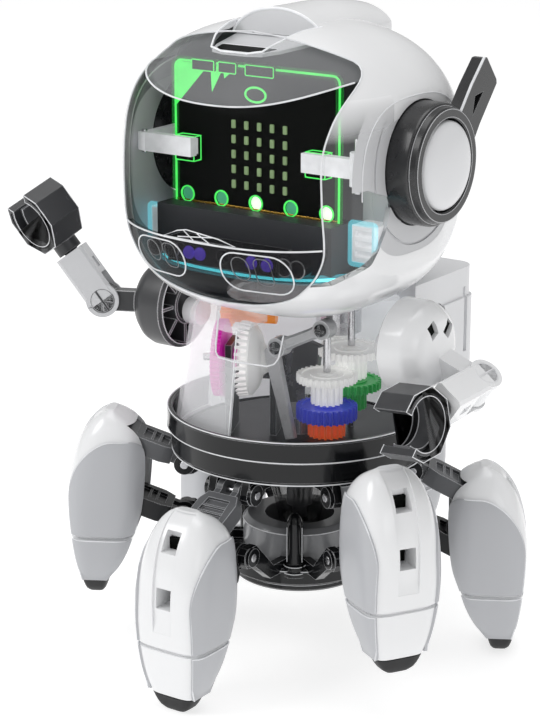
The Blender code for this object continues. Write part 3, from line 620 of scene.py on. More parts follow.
def make_leg_pieces():
    cover = leg_cover()
    tip = loft([leg_section(h) for h in (0.0, 0.4, 1.0, 2.0, 3.0, 4.3)])
    # a thin black sheet across the leg's inside, behind its windows: painted shade inside the leg
    shade_sheet = block((-6.3, -56.2, 21.0), (6.3, -55.7, 47.2))
    heights = ((GROOVE + 0.7, 46.2), (4.8, GROOVE - 0.7))
    spans = [(low, high, side) for side in (-1, 1) for low, high in heights]
    panels = [skin(panel_rows(*span, 0.12)) for span in spans]
    edges = [panel_rows(*span, 0.5) for span in spans]
    # pale glowing beads along the side plates' front and top edges: painted highlight lines
    rims = gathered([tube([row[-1] for row in rows] + rows[-1][-2::-1], 0.2, sides=6) for rows in edges])
    for number in range(LEG_COUNT):
        body = f"leg_{number}"
        turn = Matrix.Rotation(math.radians(60 * number), 4, "Z")
        pivot = joint_point(f"leg_level_{number}")
        reach, height = UPPER_PIVOT
        planted = turn @ Vector((0, -reach - LINK * math.cos(LINK_DOWN), height + LINK * math.sin(LINK_DOWN)))
        travel = Matrix.Translation(pivot - planted) @ turn
        piece(f"leg_cover_{number}", copy_of(cover), "white", body,
              f"leg_shell_{number}", travel, bevel=0.18)
        piece(f"leg_tip_{number}", copy_of(tip), "rubber", body, f"leg_foot_{number}", travel)
        # painted shade: the black sheet inside the leg
        piece(f"leg_shade_sheet_{number}", copy_of(shade_sheet), "board", body, None, travel)
        for k, panel in enumerate(panels):
            # side plates: their own grey made darker as painted shade
            plate = piece(f"leg_panel_{number}_{k}", copy_of(panel), "side_grey", body,
                          None, travel)
            thick = plate.modifiers.new("thickness", "SOLIDIFY")
            thick.thickness = 0.9 * MM
            thick.offset = 0.0
            bevelled(plate, 0.2)
        piece(f"leg_rims_{number}", copy_of(rims), "line", body, None, travel)
    for shape in [cover, tip, shade_sheet, rims] + panels:
        bpy.data.objects.remove(shape)


# ================================================================ base
def around(radius, degrees, height=0.0):
    """A point round the turning axis; 0 degrees is the robot's front, 90 its left."""
    angle = math.radians(degrees)
    return Vector((radius * math.sin(angle), -radius * math.cos(angle), height))


def spoke_space(degrees, radius, height):
    """Third axis across the spoke, first outward, second up."""
    turn = Matrix.Rotation(math.radians(degrees), 4, "Z")
    side = Matrix(((0, 0, 1, 0), (-1, 0, 0, 0), (0, 1, 0, 0), (0, 0, 0, 1)))
    return turn @ side @ Matrix.Translation((radius, height, 0))


def ring_line(radius, height, bead=0.17, steps=120):
    return tube([around(radius, 360 * i / steps, height) for i in range(steps)], bead, closed=True, sides=6)


def make_base():
    profile = [(10.4, 57.6), (34.6, 57.6), (35.3, 58.4), (35.3, 63.6), (36.5, 64.3), (36.5, 69.3)]
    profile += [(36.1, 69.8), (35.3, 69.8), (34.9, 69.4), (34.6, 60.0), (10.4, 60.0)]
    ring = turned(profile, 128)
    ear = [(-5.3, 4.8), (-5.3, -1.0), (-2.4, -2.9), (0.0, -3.2), (2.0, -2.5), (2.9, -1.0), (2.5, 1.0)]
    ear += [(1.8, 3.0), (1.8, 4.8)]
    web = rectangle(-12.0, 0.0, -5.0, 4.8)
    for number in range(LEG_COUNT):
        at = spoke_space(60 * number, *UPPER_PIVOT)
        for side in (-1, 1):
            join(ring, prism(ear, *sorted((side * 4.0, side * 6.5)), at))
            join(ring, cylinder(2.9, *sorted((side * 6.3, side * 7.6)), 28, at))
        join(ring, prism(web, -6.5, 6.5, at))
    piece("base_tray", ring, "dark_gloss", "base", "base_ring", bevel=0.2)
    # pale glowing rings on the tray's rims: painted highlight lines
    highlight_lines = [ring_line(36.35, 69.75), ring_line(36.5, 64.25), ring_line(35.2, 57.75)]
    piece("base_highlight_lines", gathered(highlight_lines), "line", "base")
    pins = [cylinder(PIN_RADIUS, -half, half, 20, spoke_space(60 * number, *pivot))
            for pivot, half in ((UPPER_PIVOT, 8.0), (LOWER_PIVOT, 7.6)) for number in range(LEG_COUNT)]
    piece("hinge_pins", gathered(pins), "steel", "base", bevel=0.15)
    make_lower_hub()


def make_lower_hub():
    disc = [(0, 19.5), (13.6, 19.5), (14.6, 20.2), (17.8, 21.2), (18.4, 21.8), (18.4, 23.0), (19.4, 23.4)]
    disc += [(20.0, 24.0), (20.0, 27.4), (19.4, 28.0), (14.0, 28.0), (14.0, 30.8), (0, 30.8)]
    hub = turned(disc, 96)
    arm = [(-19.5, -9.0), (-9.0, -9.0), (-2.0, -3.4), (1.6, -2.9), (2.9, -1.0), (2.9, 1.2), (1.4, 2.6)]
    arm += [(-2.6, 2.6), (-10.6, -5.6), (-19.5, -5.6)]
    for number in range(LEG_COUNT):
        at = spoke_space(60 * number, *LOWER_PIVOT)
        for side in (-1, 1):
            join(hub, prism(arm, *sorted((side * 4.0, side * 6.5)), at))
            join(hub, cylinder(2.6, *sorted((side * 6.3, side * 7.5)), 28, at))
    rib = rectangle(12.0, 24.0, 19.6, 29.4)
    for degrees in (90, 210, 330):
        join(hub, prism(rib, -1.0, 1.0, spoke_space(degrees, 0.0, 0.0)))
    piece("hub_plate", hub, "dark_gloss", "base", "lower_hub", bevel=0.2)
    sleeve = [(13.9, 27.9), (15.8, 27.9), (15.8, 36.4), (15.2, 37.2), (14.4, 38.0), (9.6, 38.0), (9.2, 30.9)]
    sleeve += [(8.4, 30.9), (8.4, 29.6), (13.9, 29.6)]
    piece("hub_drum", turned(sleeve, 96), "drum", "base", bevel=0.15)
    # pale glowing rings on the hub's rims: painted highlight lines
    places = ((20.0, 27.6), (18.5, 23.1), (15.7, 36.6), (14.4, 20.0))
    highlight_lines = [ring_line(radius, height, 0.15, 96) for radius, height in places]
    piece("hub_highlight_lines", gathered(highlight_lines), "line", "base")
    bullet = [(0, 26.0), (3.4, 26.0), (3.4, 27.2), (3.0, 27.6), (3.0, 29.0), (2.3, 29.6), (2.3, 40.2)]
    bullet += [(2.1, 41.6), (1.6, 42.8), (0.8, 43.6), (0, 43.8)]
    posts, lines = [], []
    for degrees in (30, 150, 270):
        centre = around(17.6, degrees)
        at = Matrix.Translation(centre)
        posts.append(turned(bullet, 32, at))
        for lean in (-62, 62):
            facing = around(2.3, degrees + lean)
            lines.append(tube([centre + facing + Vector((0, 0, z)) for z in (30.0, 35.0, 40.0)], 0.12))
        for radius, height in ((3.4, 27.2), (3.0, 29.0)):
            lines.append(tube(circle_line(at, radius, height, 4, 25), 0.12))
    piece("hub_posts", gathered(posts), "dark_gloss", "base", bevel=0.12)
    # pale glowing beads on the posts: painted highlight lines
    piece("post_highlight_lines", gathered(lines), "line", "base")


# ================================================================ links
def link_shape(half_thickness, slotted):
    """A link along +X of its own space, from its hub pivot to its leg pivot; third axis across."""
    h = half_thickness
    plan = [(3.9, -4.6), (7.0, -6.0), (LINK, -6.0), (LINK, 6.0), (7.0, 6.0), (3.9, 4.6)]
    shape = prism(plan, -h, h, FRONT_VIEW)
    join(shape, cylinder(h + 0.6, -5.8, 5.8, 32, Matrix.Translation((LINK, 0, 0))))
    for side in (-1, 1):
        ends = sorted((side * 1.7, side * 3.6))
        join(shape, cylinder(h + 0.6, *ends, 32))
        join(shape, prism(rectangle(0, -h + 0.3, 5.0, h - 0.3), *ends))
    pocket = [(6.0, -3.4), (13.4, -4.2), (13.4, 4.2), (6.0, 3.4)]
    cut(shape, prism(pocket, h - 0.9, h + 2.0, FRONT_VIEW), prism(pocket, -h - 2.0, -h + 0.9, FRONT_VIEW))
    for x in (8.2, 10.4):
        rib = rectangle(x, -3.9, x + 0.7, 3.9)
        join(shape, prism(rib, h - 1.3, h - 0.25, FRONT_VIEW))
    if slotted:
        slot = rectangle(14.6, -1.3, LINK, 1.3)
        cut(shape, prism(slot, -h - 2, h + 2, FRONT_VIEW))
    return shape


def make_links():
    down = Matrix.Rotation(LINK_DOWN, 4, "Z")
    for kind, half, hub, look in (("upper", 2.4, UPPER_PIVOT, "mid_grey"),
                                  ("lower", 2.6, LOWER_PIVOT, "dark")):
        shape = link_shape(half, kind == "lower")
        pins = cylinder(PIN_RADIUS, -7.1, 7.1, 20, Matrix.Translation((LINK, 0, 0)))
        for number in range(LEG_COUNT):
            raised = Matrix.Rotation(RAISED if number % 2 else 0.0, 4, "Z")
            travel = spoke_space(60 * number, *hub) @ raised @ down
            body = f"{kind}_link_{number}"
            piece(f"{kind}_bar_{number}", copy_of(shape), look, body, body, travel, bevel=0.22)
            piece(f"{kind}_leg_pin_{number}", copy_of(pins), "steel", body, None, travel, bevel=0.15)
        bpy.data.objects.remove(shape)
        bpy.data.objects.remove(pins)


# ================================================================ waist
def waist_radius(height):
    return 34.0 - 4.4 * max((height - 66.0) / 31.4, 0.0)


def sector(profile, start, end, segments=72):
    """A closed profile swept round the turning axis between two angles, closed at both ends."""
    rows = [[around(radius, start + (end - start) * i / segments, height) for radius, height in profile]
            for i in range(segments + 1)]
    return loft(rows)


def waist_profile():
    outer = [(waist_radius(h), h) for h in (61.9, 66.0, 74.0, 82.0, 90.0)]
    outer += [(29.8, 96.0), (28.9, 97.4), (17.0, 97.4), (17.0, 101.0), (15.6, 101.0)]
    inner = [(15.6, 96.2), (28.4, 96.0), (waist_radius(90.0) - 1.2, 90.0)]
    inner += [(waist_radius(h) - 1.2, h) for h in (82.0, 74.0, 66.0, 61.9)]
    return outer + inner


def make_waist():
    profile = waist_profile()
    milky = sector(profile, 0.0, -95.0, 44)
    window = [around(waist_radius(h), a, h) for a, h in
              [(-13.0, 101.0), (-13.0, 92.0), (-12.2, 90.0), (-10.0, 88.9), (0.0, 88.7), (18.0, 88.7),
               (21.5, 89.4), (23.6, 91.0), (25.8, 97.0)]]
    cut(milky, prism(rectangle(-7.4, 88.9, 14.0, 96.0), -60.0, -20.0, FRONT_VIEW))
    piece("waist_cover", milky, "milky", "upper_body", "waist_shell", bevel=0.15, smooth=40)
    back = sector(profile, -95.6, -215.0, 60)
    piece("waist_back", back, "waist_back", "upper_body", smooth=40)
    piece("waist_pane", sector(profile, 0.6, 144.4, 64), "pane", "upper_body", smooth=40)
    seam = [around(waist_radius(h) + 0.05, 0.3, h) for h in (62.2, 68.0, 76.0, 84.0, 92.0, 96.6)]
    foot = [around(34.0, -200 + 360 * i / 120, 62.2) for i in range(121)]
    # pale glowing beads along the window, the seam and the foot: painted highlight lines
    beads = [tube(window, 0.22), tube(seam, 0.2), tube(foot, 0.16)]
    piece("waist_highlight_lines", gathered(beads), "line", "upper_body")
    dress("gearbox_frame", "dark", 0.2)
    for motor in ("arm_motor", "walk_motor"):
        dress(motor, "steel", 0.3)
    make_gears()
    make_axles()
    make_crank()
    make_cone()


def toothed(radius, teeth, low, high, phase, space):
    """A gear with fine straight-flanked teeth, on its pitch radius."""
    module = 2 * radius / teeth
    pitch = 2 * math.pi / teeth
    points = []
    for i in range(teeth):
        for reach, share in ((radius - 1.15 * module, -0.3), (radius + 0.72 * module, -0.13),
                             (radius + 0.72 * module, 0.13), (radius - 1.15 * module, 0.3)):
            angle = phase + (i + share) * pitch
            points.append((reach * math.cos(angle), reach * math.sin(angle)))
    return prism(points, low, high, space)


def upright(joint):
    """The space of a joint that stands upright, with its own place at 0."""
    place = joint_point(joint)
    return Matrix.Translation((place.x, place.y, 0))


def make_gears():
    """Each gear has one and a half times the solid's teeth, on the same pitch circles."""
    up, down = math.pi / 2, -math.pi / 2
    half_tooth = math.pi / 30
    # each wheel and its pinion: pitch radius, teeth, lower and upper face, phase
    for name, joint, look, wheel, pinion in (
        ("top", "top_spin", "white_gear", (8.8, 33, 82.2, 84.2, up), (4.0, 15, 75.6, 82.4, down)),
        ("middle", "middle_spin", "white_gear", (8.0, 30, 77.5, 79.6, up + half_tooth),
         (4.0, 15, 71.2, 77.7, up)),
        ("green", "green_spin", "green", (8.0, 30, 72.6, 75.0, down + half_tooth),
         (4.0, 15, 66.8, 72.8, down)),
    ):
        at, face = upright(joint), wheel[3]
        shape = toothed(*wheel, at)
        collar = [(1.2, face - 0.1), (2.8, face - 0.1), (2.5, face + 0.5), (1.2, face + 0.5)]
        join(shape, toothed(*pinion, at), turned(collar, 32, at))
        recess = rectangle(4.6, face - 0.4, 6.9, 90)
        cut(shape, cylinder(PIN_RADIUS, 60, 90, 24, at), turned(recess, 48, at))
        piece(f"{name}_wheels", shape, look, name, f"{name}_gear", bevel=0.1)
    at = upright("blue_spin")
    wheel = cut(toothed(8.0, 30, 66.9, 70.8, up + half_tooth, at), cylinder(1.2, 60, 75, 24, at),
                turned(rectangle(3.4, 70.3, 6.7, 75), 48, at))
    piece("blue_wheel", wheel, "blue", "blue", "blue_gear", bevel=0.1)
    pinion = cut(toothed(4.8, 18, 62.0, 66.5, math.pi, at), cylinder(1.2, 60, 75, 24, at))
    piece("red_wheel", pinion, "red", "blue", "red_pinion", bevel=0.1)
    dress("motor_pinion", "white_gear", 0.12)
    shaft = joint_point("arm_shaft_spin")
    along = joint_axis("arm_shaft_spin")
    face = space_along(shaft + along * 15.0, along)
    magenta = toothed(10.4, 52, -23.2, -20.6, 0.1, face)
    join(magenta, cylinder(3.4, -23.7, -17.8, 32, face))
    piece("magenta_wheel", magenta, "magenta", "arm_shaft", "magenta_gear", bevel=0.1)
    crown = turned([(0, -15.4), (9.0, -15.4), (10.4, -16.6), (10.4, -15.4), (9.9, -12.9), (7.6, -11.2),
                    (4.4, -10.2), (3.2, -8.4), (0, -8.4)], 64, face)
    for i in range(33):
        spin = face @ Matrix.Rotation(2 * math.pi * i / 33, 4, "Z")
        cut(crown, prism([(8.4, -0.42), (11.2, -0.62), (11.2, 0.62), (8.4, 0.42)], -18.0, -13.4, spin))
    join(crown, cylinder(3.1, -17.2, -15.0, 32, face))
    piece("crown_wheel", crown, "white_gear", "arm_shaft", "crown_gear", bevel=0.1)
    dress("orange_pinion", "orange", 0.12)


def make_axles():
    """Steel axles through the walking train and along the arm shaft."""
    parts = []
    for joint, low, high in (("middle_spin", 80.0, 92.4), ("top_spin", 84.6, 95.0)):
        parts.append(cylinder(1.05, low, high, 24, upright(joint)))
    piece("axle_tops", gathered(parts), "steel", "upper_body", bevel=0.2)
    along = joint_axis("arm_shaft_spin")
    start = space_along(joint_point("arm_shaft_spin") - along * 12.0, along)
    piece("arm_shaft", cylinder(1.0, 0.0, 4.2, 20, start), "steel", "arm_shaft", bevel=0.2)


def make_crank():
    """Crank boss, rod and swing lever of the leg drive."""
    boss = Vector((2.0, -12.5, 89.0))
    far = Vector((15.4, -11.0, 95.6))
    lever_top, lever_foot = Vector((-2.2, -10.0, 86.6)), Vector((4.0, -9.6, 62.6))
    rod = (far - boss).normalized()
    toward = Vector((0, -1, 0))
    across = toward.cross(rod).normalized()
    rows = []
    for share, half in ((0.0, 2.0), (0.25, 1.7), (0.75, 1.6), (1.0, 2.1)):
        centre = boss.lerp(far, share)
        section = [(-half, -1.5), (half, -1.5), (half, 1.2), (half * 0.6, 1.9), (-half * 0.6, 1.9)]
        section += [(-half, 1.2)]
        rows.append([centre + across * a + toward * b for a, b in section])
    bar = loft(rows)
    for point in (boss, far):
        join(bar, cylinder(2.7, -1.7, 2.1, 32, space_along(point, toward)))
    piece("crank_rod", bar, "rod", "upper_body", bevel=0.25)
    screws = []
    for point in (boss, far):
        face = space_along(point, toward)
        screw = turned([(0, 2.0), (1.7, 2.0), (1.7, 2.9), (1.2, 3.3), (0, 3.3)], 24, face)
        slots = [prism(rectangle(-a, -b, a, b), 2.9, 4.0, face) for a, b in ((1.4, 0.22), (0.22, 1.4))]
        screws.append(cut(screw, *slots))
    piece("crank_screws", gathered(screws), "dark_gloss", "upper_body", bevel=0.1)
    down = (lever_foot - lever_top).normalized()
    side = toward.cross(down).normalized()
    rows = []
    for share, half in ((-0.03, 1.9), (0.1, 2.3), (0.5, 1.9), (1.0, 1.5)):
        centre = lever_top.lerp(lever_foot, share) + toward * 0.4
        rows.append([centre + side * a + toward * b for a, b in
                     ((-half, -0.9), (half, -0.9), (half, 0.9), (-half, 0.9))])
    piece("swing_lever", loft(rows), "rod", "upper_body", bevel=0.3)
    plate = prism([(-8.0, 75.0), (0.6, 73.6), (2.4, 84.6), (-5.6, 86.4)], 6.0, 8.2, FRONT_VIEW)
    piece("gearbox_plate", plate, "mid_grey", "upper_body", bevel=0.3)


def make_cone():
    """The smoked drive cup with its grey shaft inside."""
    wall = [(0, 34.6), (4.6, 34.6), (5.6, 35.4), (8.4, 48.0), (9.3, 55.6), (9.3, 58.6), (9.0, 59.0)]
    wall += [(8.2, 59.0), (7.4, 48.4), (4.9, 36.6), (0, 36.4)]
    piece("drive_cup", turned(wall, 72), "smoke_cup", "drive_cone", "drive_cone", bevel=0.1)
    shaft = [(0, 36.8), (2.2, 36.8), (2.2, 40.0), (3.6, 40.6), (3.6, 47.0), (2.6, 47.6), (2.6, 52.0)]
    shaft += [(4.4, 52.6), (4.4, 56.0), (3.0, 57.0), (3.0, 61.6), (0, 61.6)]
    core = turned(shaft, 40)
    tooth = [(2.0, -0.75), (4.5, -0.3), (4.5, 0.3), (2.0, 0.75)]
    teeth = [prism(tooth, 61.7, 66.0, Matrix.Rotation(math.radians(36 * i + 18), 4, "Z")) for i in range(10)]
    join(core, cylinder(3.1, 61.5, 66.1, 40), *teeth)
    piece("drive_shaft", core, "drum", "drive_cone", bevel=0.12)


# ================================================================ head
HEAD_CENTRE = Vector((0.0, -4.0, 138.5))
HEAD_HALF = (41.5, 39.5)
HEAD_UP, HEAD_DOWN = 37.5, 39.5
HEAD_SQUARENESS = 2.9
UP_ROUNDNESS, DOWN_ROUNDNESS = 2.5, 3.0
# half width of the visor at each height
VISOR_HALF = [(105.2, 0.4), (106.0, 9.0), (108.8, 19.5), (112.7, 25.2), (117.0, 28.8), (123.0, 31.0)]
VISOR_HALF += [(135.0, 31.0), (147.0, 30.8), (155.0, 31.6), (162.4, 32.4), (166.0, 31.0), (169.0, 27.0)]
VISOR_HALF += [(172.0, 18.0), (173.5, 8.0), (173.9, 0.4)]


def head_point(latitude, longitude, inset=0.0):
    rising = latitude > 0
    tall = (HEAD_UP if rising else HEAD_DOWN) - inset
    exponent = UP_ROUNDNESS if rising else DOWN_ROUNDNESS
    wide = abs(math.cos(latitude)) ** (2 / exponent)
    height = tall * signed_power(math.sin(latitude), 2 / exponent)
    x = (HEAD_HALF[0] - inset) * wide * signed_power(math.cos(longitude), 2 / HEAD_SQUARENESS)
    y = (HEAD_HALF[1] - inset) * wide * signed_power(math.sin(longitude), 2 / HEAD_SQUARENESS)
    return HEAD_CENTRE + Vector((x, y, height))


def head_front(x, z, inset=0.0):
    """The point of the head's front at x and z."""
    rise = z - HEAD_CENTRE.z
    tall = (HEAD_UP if rise > 0 else HEAD_DOWN) - inset
    exponent = UP_ROUNDNESS if rise > 0 else DOWN_ROUNDNESS
    level = max(1 - abs(rise / tall) ** exponent, 0.0) ** (HEAD_SQUARENESS / exponent)
    rest = max(level - abs(x / (HEAD_HALF[0] - inset)) ** HEAD_SQUARENESS, 0.0) ** (1 / HEAD_SQUARENESS)
    return Vector((x, HEAD_CENTRE.y - (HEAD_HALF[1] - inset) * rest, z))


def head_level(point, inset=0.0):
    """Below 1 inside the head's rounded box, above 1 outside it."""
    offset = point - HEAD_CENTRE
    tall = (HEAD_UP if offset.z > 0 else HEAD_DOWN) - inset
    exponent = UP_ROUNDNESS if offset.z > 0 else DOWN_ROUNDNESS
    level = sum(abs(offset[k] / (HEAD_HALF[k] - inset)) ** HEAD_SQUARENESS for k in (0, 1))
    return level ** (exponent / HEAD_SQUARENESS) + abs(offset.z / tall) ** exponent


def head_top(x, y, lift=0.0):
    """The point of the head's crown at x and y."""
    shares = (x / HEAD_HALF[0], (y - HEAD_CENTRE.y) / HEAD_HALF[1])
    level = sum(abs(share) ** HEAD_SQUARENESS for share in shares)
    rise = HEAD_UP * (1 - level ** (UP_ROUNDNESS / HEAD_SQUARENESS)) ** (1 / UP_ROUNDNESS)
    return Vector((x, y, HEAD_CENTRE.z + rise + lift))


def head_solid(inset=0.0, rows=72, columns=136):
    builder = bmesh.new()
    bottom = builder.verts.new(head_point(-math.pi / 2, 0, inset))
    top = builder.verts.new(head_point(math.pi / 2, 0, inset))
    rings = []
    for row in range(1, rows):
        latitude = -math.pi / 2 + math.pi * row / rows
        turns = [2 * math.pi * (column + 0.5) / columns for column in range(columns)]
        rings.append([builder.verts.new(head_point(latitude, turn, inset)) for turn in turns])
    for i in range(columns):
        j = (i + 1) % columns
        builder.faces.new((bottom, rings[0][j], rings[0][i]))
        builder.faces.new((top, rings[-1][i], rings[-1][j]))
        for low, high in zip(rings, rings[1:]):
            builder.faces.new((low[i], low[j], high[j], high[i]))
    return raw_object(builder)


def window_outline(shrink=0.0, steps=46):
    low, high = VISOR_HALF[0][0] + shrink, VISOR_HALF[-1][0] - shrink
    heights = [low + (high - low) * (1 - math.cos(math.pi * i / steps)) / 2 for i in range(steps + 1)]
    right = [(max(smooth_curve(VISOR_HALF, h) - shrink, 0.3), h) for h in heights]
    return right + [(-x, h) for x, h in reversed(right)]


def window_solid(shrink=0.0):
    return prism(window_outline(shrink), -60.0, -12.0, FRONT_VIEW)


def brow_height(x):
    return 157.7 + 6.6 * (abs(x) / 32.3) ** 2.2


def band_height(x):
    return 122.5 + 1.2 * (x / 32.0) ** 2


def front_region(lower, upper, depth=(-70.0, -10.0)):
    """Everything between two height curves, as a solid through the head's front."""
    xs = [-36.0 + 72.0 * i / 48 for i in range(49)]
    outline = [(x, lower(x)) for x in xs] + [(x, upper(x)) for x in reversed(xs)]
    return prism(outline, *depth, FRONT_VIEW)


EAR_CENTRE = (-1.5, 141.2)
EAR_RADIUS = 16.0
EAR_FACE = 46.0
EAR_FLAT = 37.6  # the head's sides are sliced flat round the ears
CAP_RADIUS = 11.6
# the clear part of the left cheek, in y and z
CHEEK = [(-44, 112.6), (-31.3, 113.8), (-29.3, 115.3), (-24.3, 117.9), (-20.4, 121.5), (-17.0, 126.0)]
CHEEK += [(-14.0, 134.0), (-14.0, 160.2), (-44, 160.2)]


def make_head_shell():
    shell = cut(head_solid(), head_solid(1.7))
    cut(shell, window_solid(), cylinder(20.0, 90, 102.9, 64), block((-60, -60, 90), (60, 60, 100.4)))
    cut(shell, prism(crest_outline(0.0), 160.0, 190.0))
    plates, lines = [], []
    for side in (-1, 1):
        outward = space_along((0, *EAR_CENTRE), (side, 0, 0))
        cut(shell, cylinder(EAR_RADIUS + 0.35, 30, 60, 72, outward))
        low, high = sorted((side * EAR_FLAT, side * 60.0))
        cut(shell, block((low, -60, 90), (high, 60, 190)))
        low, high = sorted((side * (EAR_FLAT - 1.5), side * (EAR_FLAT - 0.05)))
        plate = combine(head_solid(0.1), block((low, -60, 90), (high, 60, 190)), "INTERSECT")
        cut(plate, cylinder(EAR_RADIUS + 0.35, 30, 60, 72, outward))
        if side > 0:
            clear = prism(CHEEK[:-2] + [(-26.0, 138.0), (-44, 138.0)], 30, 60, SIDE_VIEW)
            pane = combine(copy_of(plate), copy_of(clear), "INTERSECT")
            piece("cheek_pane", pane, "pane", "upper_body")
            cut(plate, clear)
        face = space_along((side * (EAR_FLAT - 0.5), *EAR_CENTRE), (side, 0, 0))
        plates.append(cut(plate, turned(rectangle(20.6, 0, 21.3, 9), 96, face)))
        rim = []
        for degrees in range(-12, 200, 4):
            lean = Vector((0, -math.cos(math.radians(degrees)), math.sin(math.radians(degrees))))
            reach = EAR_RADIUS
            while head_level(Vector((EAR_FLAT, *EAR_CENTRE)) + lean * reach) < 1.0 and reach < 40.0:
                reach += 0.05
            rim.append(Vector((side * EAR_FLAT, *EAR_CENTRE)) + lean * (reach - 0.1))
        lines.append(tube(rim, 0.16))
    piece("ear_plates", gathered(plates), "dish", "upper_body", bevel=0.25)
    # pale glowing beads along the plates' arcs: painted highlight lines
    piece("ear_plate_rims", gathered(lines), "line", "upper_body")
    zone = prism(CHEEK, 24.0, EAR_FLAT + 1.0, SIDE_VIEW)
    cheek = combine(copy_of(shell), copy_of(zone), "INTERSECT")
    cut(shell, zone)
    cover = piece("head_cover", shell, "white", "upper_body", "head_shell", smooth=30)
    # the shell's inside faces take the dark grey: painted shade inside the head
    cover.data.materials.append(M["inside_shade_grey"])
    for face in cover.data.polygons:
        centre = face.center / MM - AXIS
        if head_level(centre, 1.2) < 1 and abs(centre.x) < EAR_FLAT - 0.1:
            face.material_index = 1
    piece("head_cheek", cheek, "cheek", "upper_body", smooth=30)
    back = block((28.4, -13.6, 126.0), (36.0, -12.8, 157.5))
    piece("cheek_back", back, "dish", "upper_body", bevel=0.1)


def make_visor():
    glass = combine(cut(head_solid(0.15), head_solid(1.5)), window_solid(0.25), "INTERSECT")
    cut(glass, prism(crest_outline(0.0), 160.0, 190.0))
    zones = (("visor_brow", brow_height, lambda x: 190.0), ("visor_front", band_height, brow_height),
             ("visor_band", lambda x: 95.0, band_height))
    for name, lower, upper in zones:
        part = combine(copy_of(glass), front_region(lower, upper), "INTERSECT")
        piece(name, part, name, "upper_body", "visor" if name == "visor_front" else None, smooth=30)
    bpy.data.objects.remove(glass)
    lines = []

    def line(outline, bead, closed=False, inset=-0.02):
        lines.append(tube([head_front(x, z, inset) for x, z in outline], bead, closed=closed))

    for half, curve in ((31.6, brow_height), (30.8, band_height)):
        xs = [-half + 2 * half * i / 60 for i in range(61)]
        line([(x, curve(x)) for x in xs], 0.24)
    line(window_outline(-0.05, 60), 0.24, closed=True)
    for low, high in (((-26.0, 111.6), (-8.0, 121.6)), ((3.4, 110.8), (23.4, 121.4))):
        line(rounded_rectangle(low, high, 4.9), 0.2, closed=True)
        inner = rounded_rectangle((low[0] + 2.2, low[1] + 2.6), (low[0] + 7.4, high[1] - 1.6), 2.5)
        lens = rounded_rectangle((low[0] + 9.0, low[1] + 1.8), (low[0] + 13.6, high[1] - 1.4), 1.6)
        line(inner, 0.15, closed=True, inset=1.6)
        line(lens, 0.15, closed=True, inset=1.6)
    nose = [(-14.0, 122.9), (-9.0, 125.0), (-6.0, 125.6), (4.0, 124.4), (9.0, 123.0), (4.0, 122.6)]
    nose += [(-4.0, 122.8)]
    line(nose, 0.17, closed=True)
    creases = (((-7.0, 125.4), (-4.0, 123.0)), ((-2.6, 125.0), (1.0, 122.8)), ((2.6, 124.6), (-9.0, 123.4)))
    for crease in creases:
        line(crease, 0.15)
    # pale glowing beads along the visor's edges, eyes, nose and creases: painted highlight lines
    piece("visor_highlight_lines", gathered(lines), "line", "upper_body")


CREST_FRONT = -10.4  # where the arched hood opens


def crest_outline(shrink):
    """The scoop's outline in x and y: from the arch's feet to the slot in front."""
    right = [(13.4 - shrink, CREST_FRONT - 0.1), (10.2 - shrink, -24.0), (7.8 - shrink, -29.0 + shrink)]
    right += [(4.0, -30.2 + shrink)]
    return right + [(-x, y) for x, y in reversed(right)]


def arch_row(y, half, peak, foot=171.9, grow=0.0, steps=32):
    """Points over the arch at one depth, from its left foot to its right."""
    turns = [math.pi * k / steps for k in range(steps + 1)]
    return [Vector(((half + grow) * math.cos(t), y, foot + (peak - foot + grow) * math.sin(t) ** 1.35))
            for t in turns]


def make_crest():
    """The hood over the crown: an arch open to the front, over a sunken scoop with a slot."""
    rows = []
    for i in range(22):
        share = i / 21
        half, peak = 14.4 - 2.6 * share, 179.0 - 6.5 * max(share - 0.45, 0.0) ** 2
        row = arch_row(CREST_FRONT + 36.0 * share, half, peak)
        rows.append(row + [Vector((-half, row[0].y, 150.0)), Vector((half, row[0].y, 150.0))])
    piece("crest_hood", cut(loft(rows), head_solid(0.15)), "white", "upper_body", "head_crest",
          bevel=0.2, smooth=40)

    def slab(lower, upper):
        """A band just under and over the scoop's sloping floor."""
        ends = ((-8.0, 171.5), (-31.5, 169.6))
        outline = [(y, z + lower) for y, z in ends] + [(y, z + upper) for y, z in reversed(ends)]
        return prism(outline, -30, 30, SIDE_VIEW)

    tray = combine(prism(crest_outline(0.05), 150.0, 190.0), slab(-0.9, 0.0), "INTERSECT")
    piece("crest_tray", tray, "dish", "upper_body", bevel=0.1)
    wall = arch_row(CREST_FRONT + 0.1, 13.8, 178.5)
    back = [wall, [point + Vector((0, -0.5, 0)) for point in wall]]
    piece("crest_back", loft([row[::-1] for row in back]), "panel_white", "upper_body")
    # the slot's dark inside is drawn as a black slab over the scoop's floor: painted shade
    mouth = [(-8.4, -23.4), (8.4, -23.4), (7.6, -27.0), (5.6, -28.8), (-5.6, -28.8), (-7.6, -27.0)]
    slot = combine(prism(mouth, 150, 190), slab(-0.4, 0.12), "INTERSECT")
    piece("crest_slot", slot, "board", "upper_body")
    lines = [tube(arch_row(CREST_FRONT - 0.3, 14.1, 178.7), 0.38)]
    corners = [Vector(corner) for corner in crest_outline(-0.1)]
    rim = [head_top(*corners[0], -0.1)]
    for first, second in zip(corners, corners[1:]):
        rim += [head_top(*first.lerp(second, i / 6), -0.1) for i in range(1, 7)]
    lines.append(tube(rim, 0.26))
    for half, y, z, bead in ((13.0, CREST_FRONT - 0.5, 171.6, 0.2), (8.6, -23.2, 170.4, 0.12)):
        lines.append(tube([Vector((half, y, z)), Vector((-half, y, z))], bead))
    # glowing white beads along the arch and the scoop's rim: painted highlight lines
    piece("crest_lines", gathered(lines), "lit_white", "upper_body")


CHIPS = ((-19.5, -12.4), (-11.0, -5.4), (-2.4, 6.4))  # the chips along the board's top edge, in x
CHIP_LOW, CHIP_HIGH = 162.6, 165.3


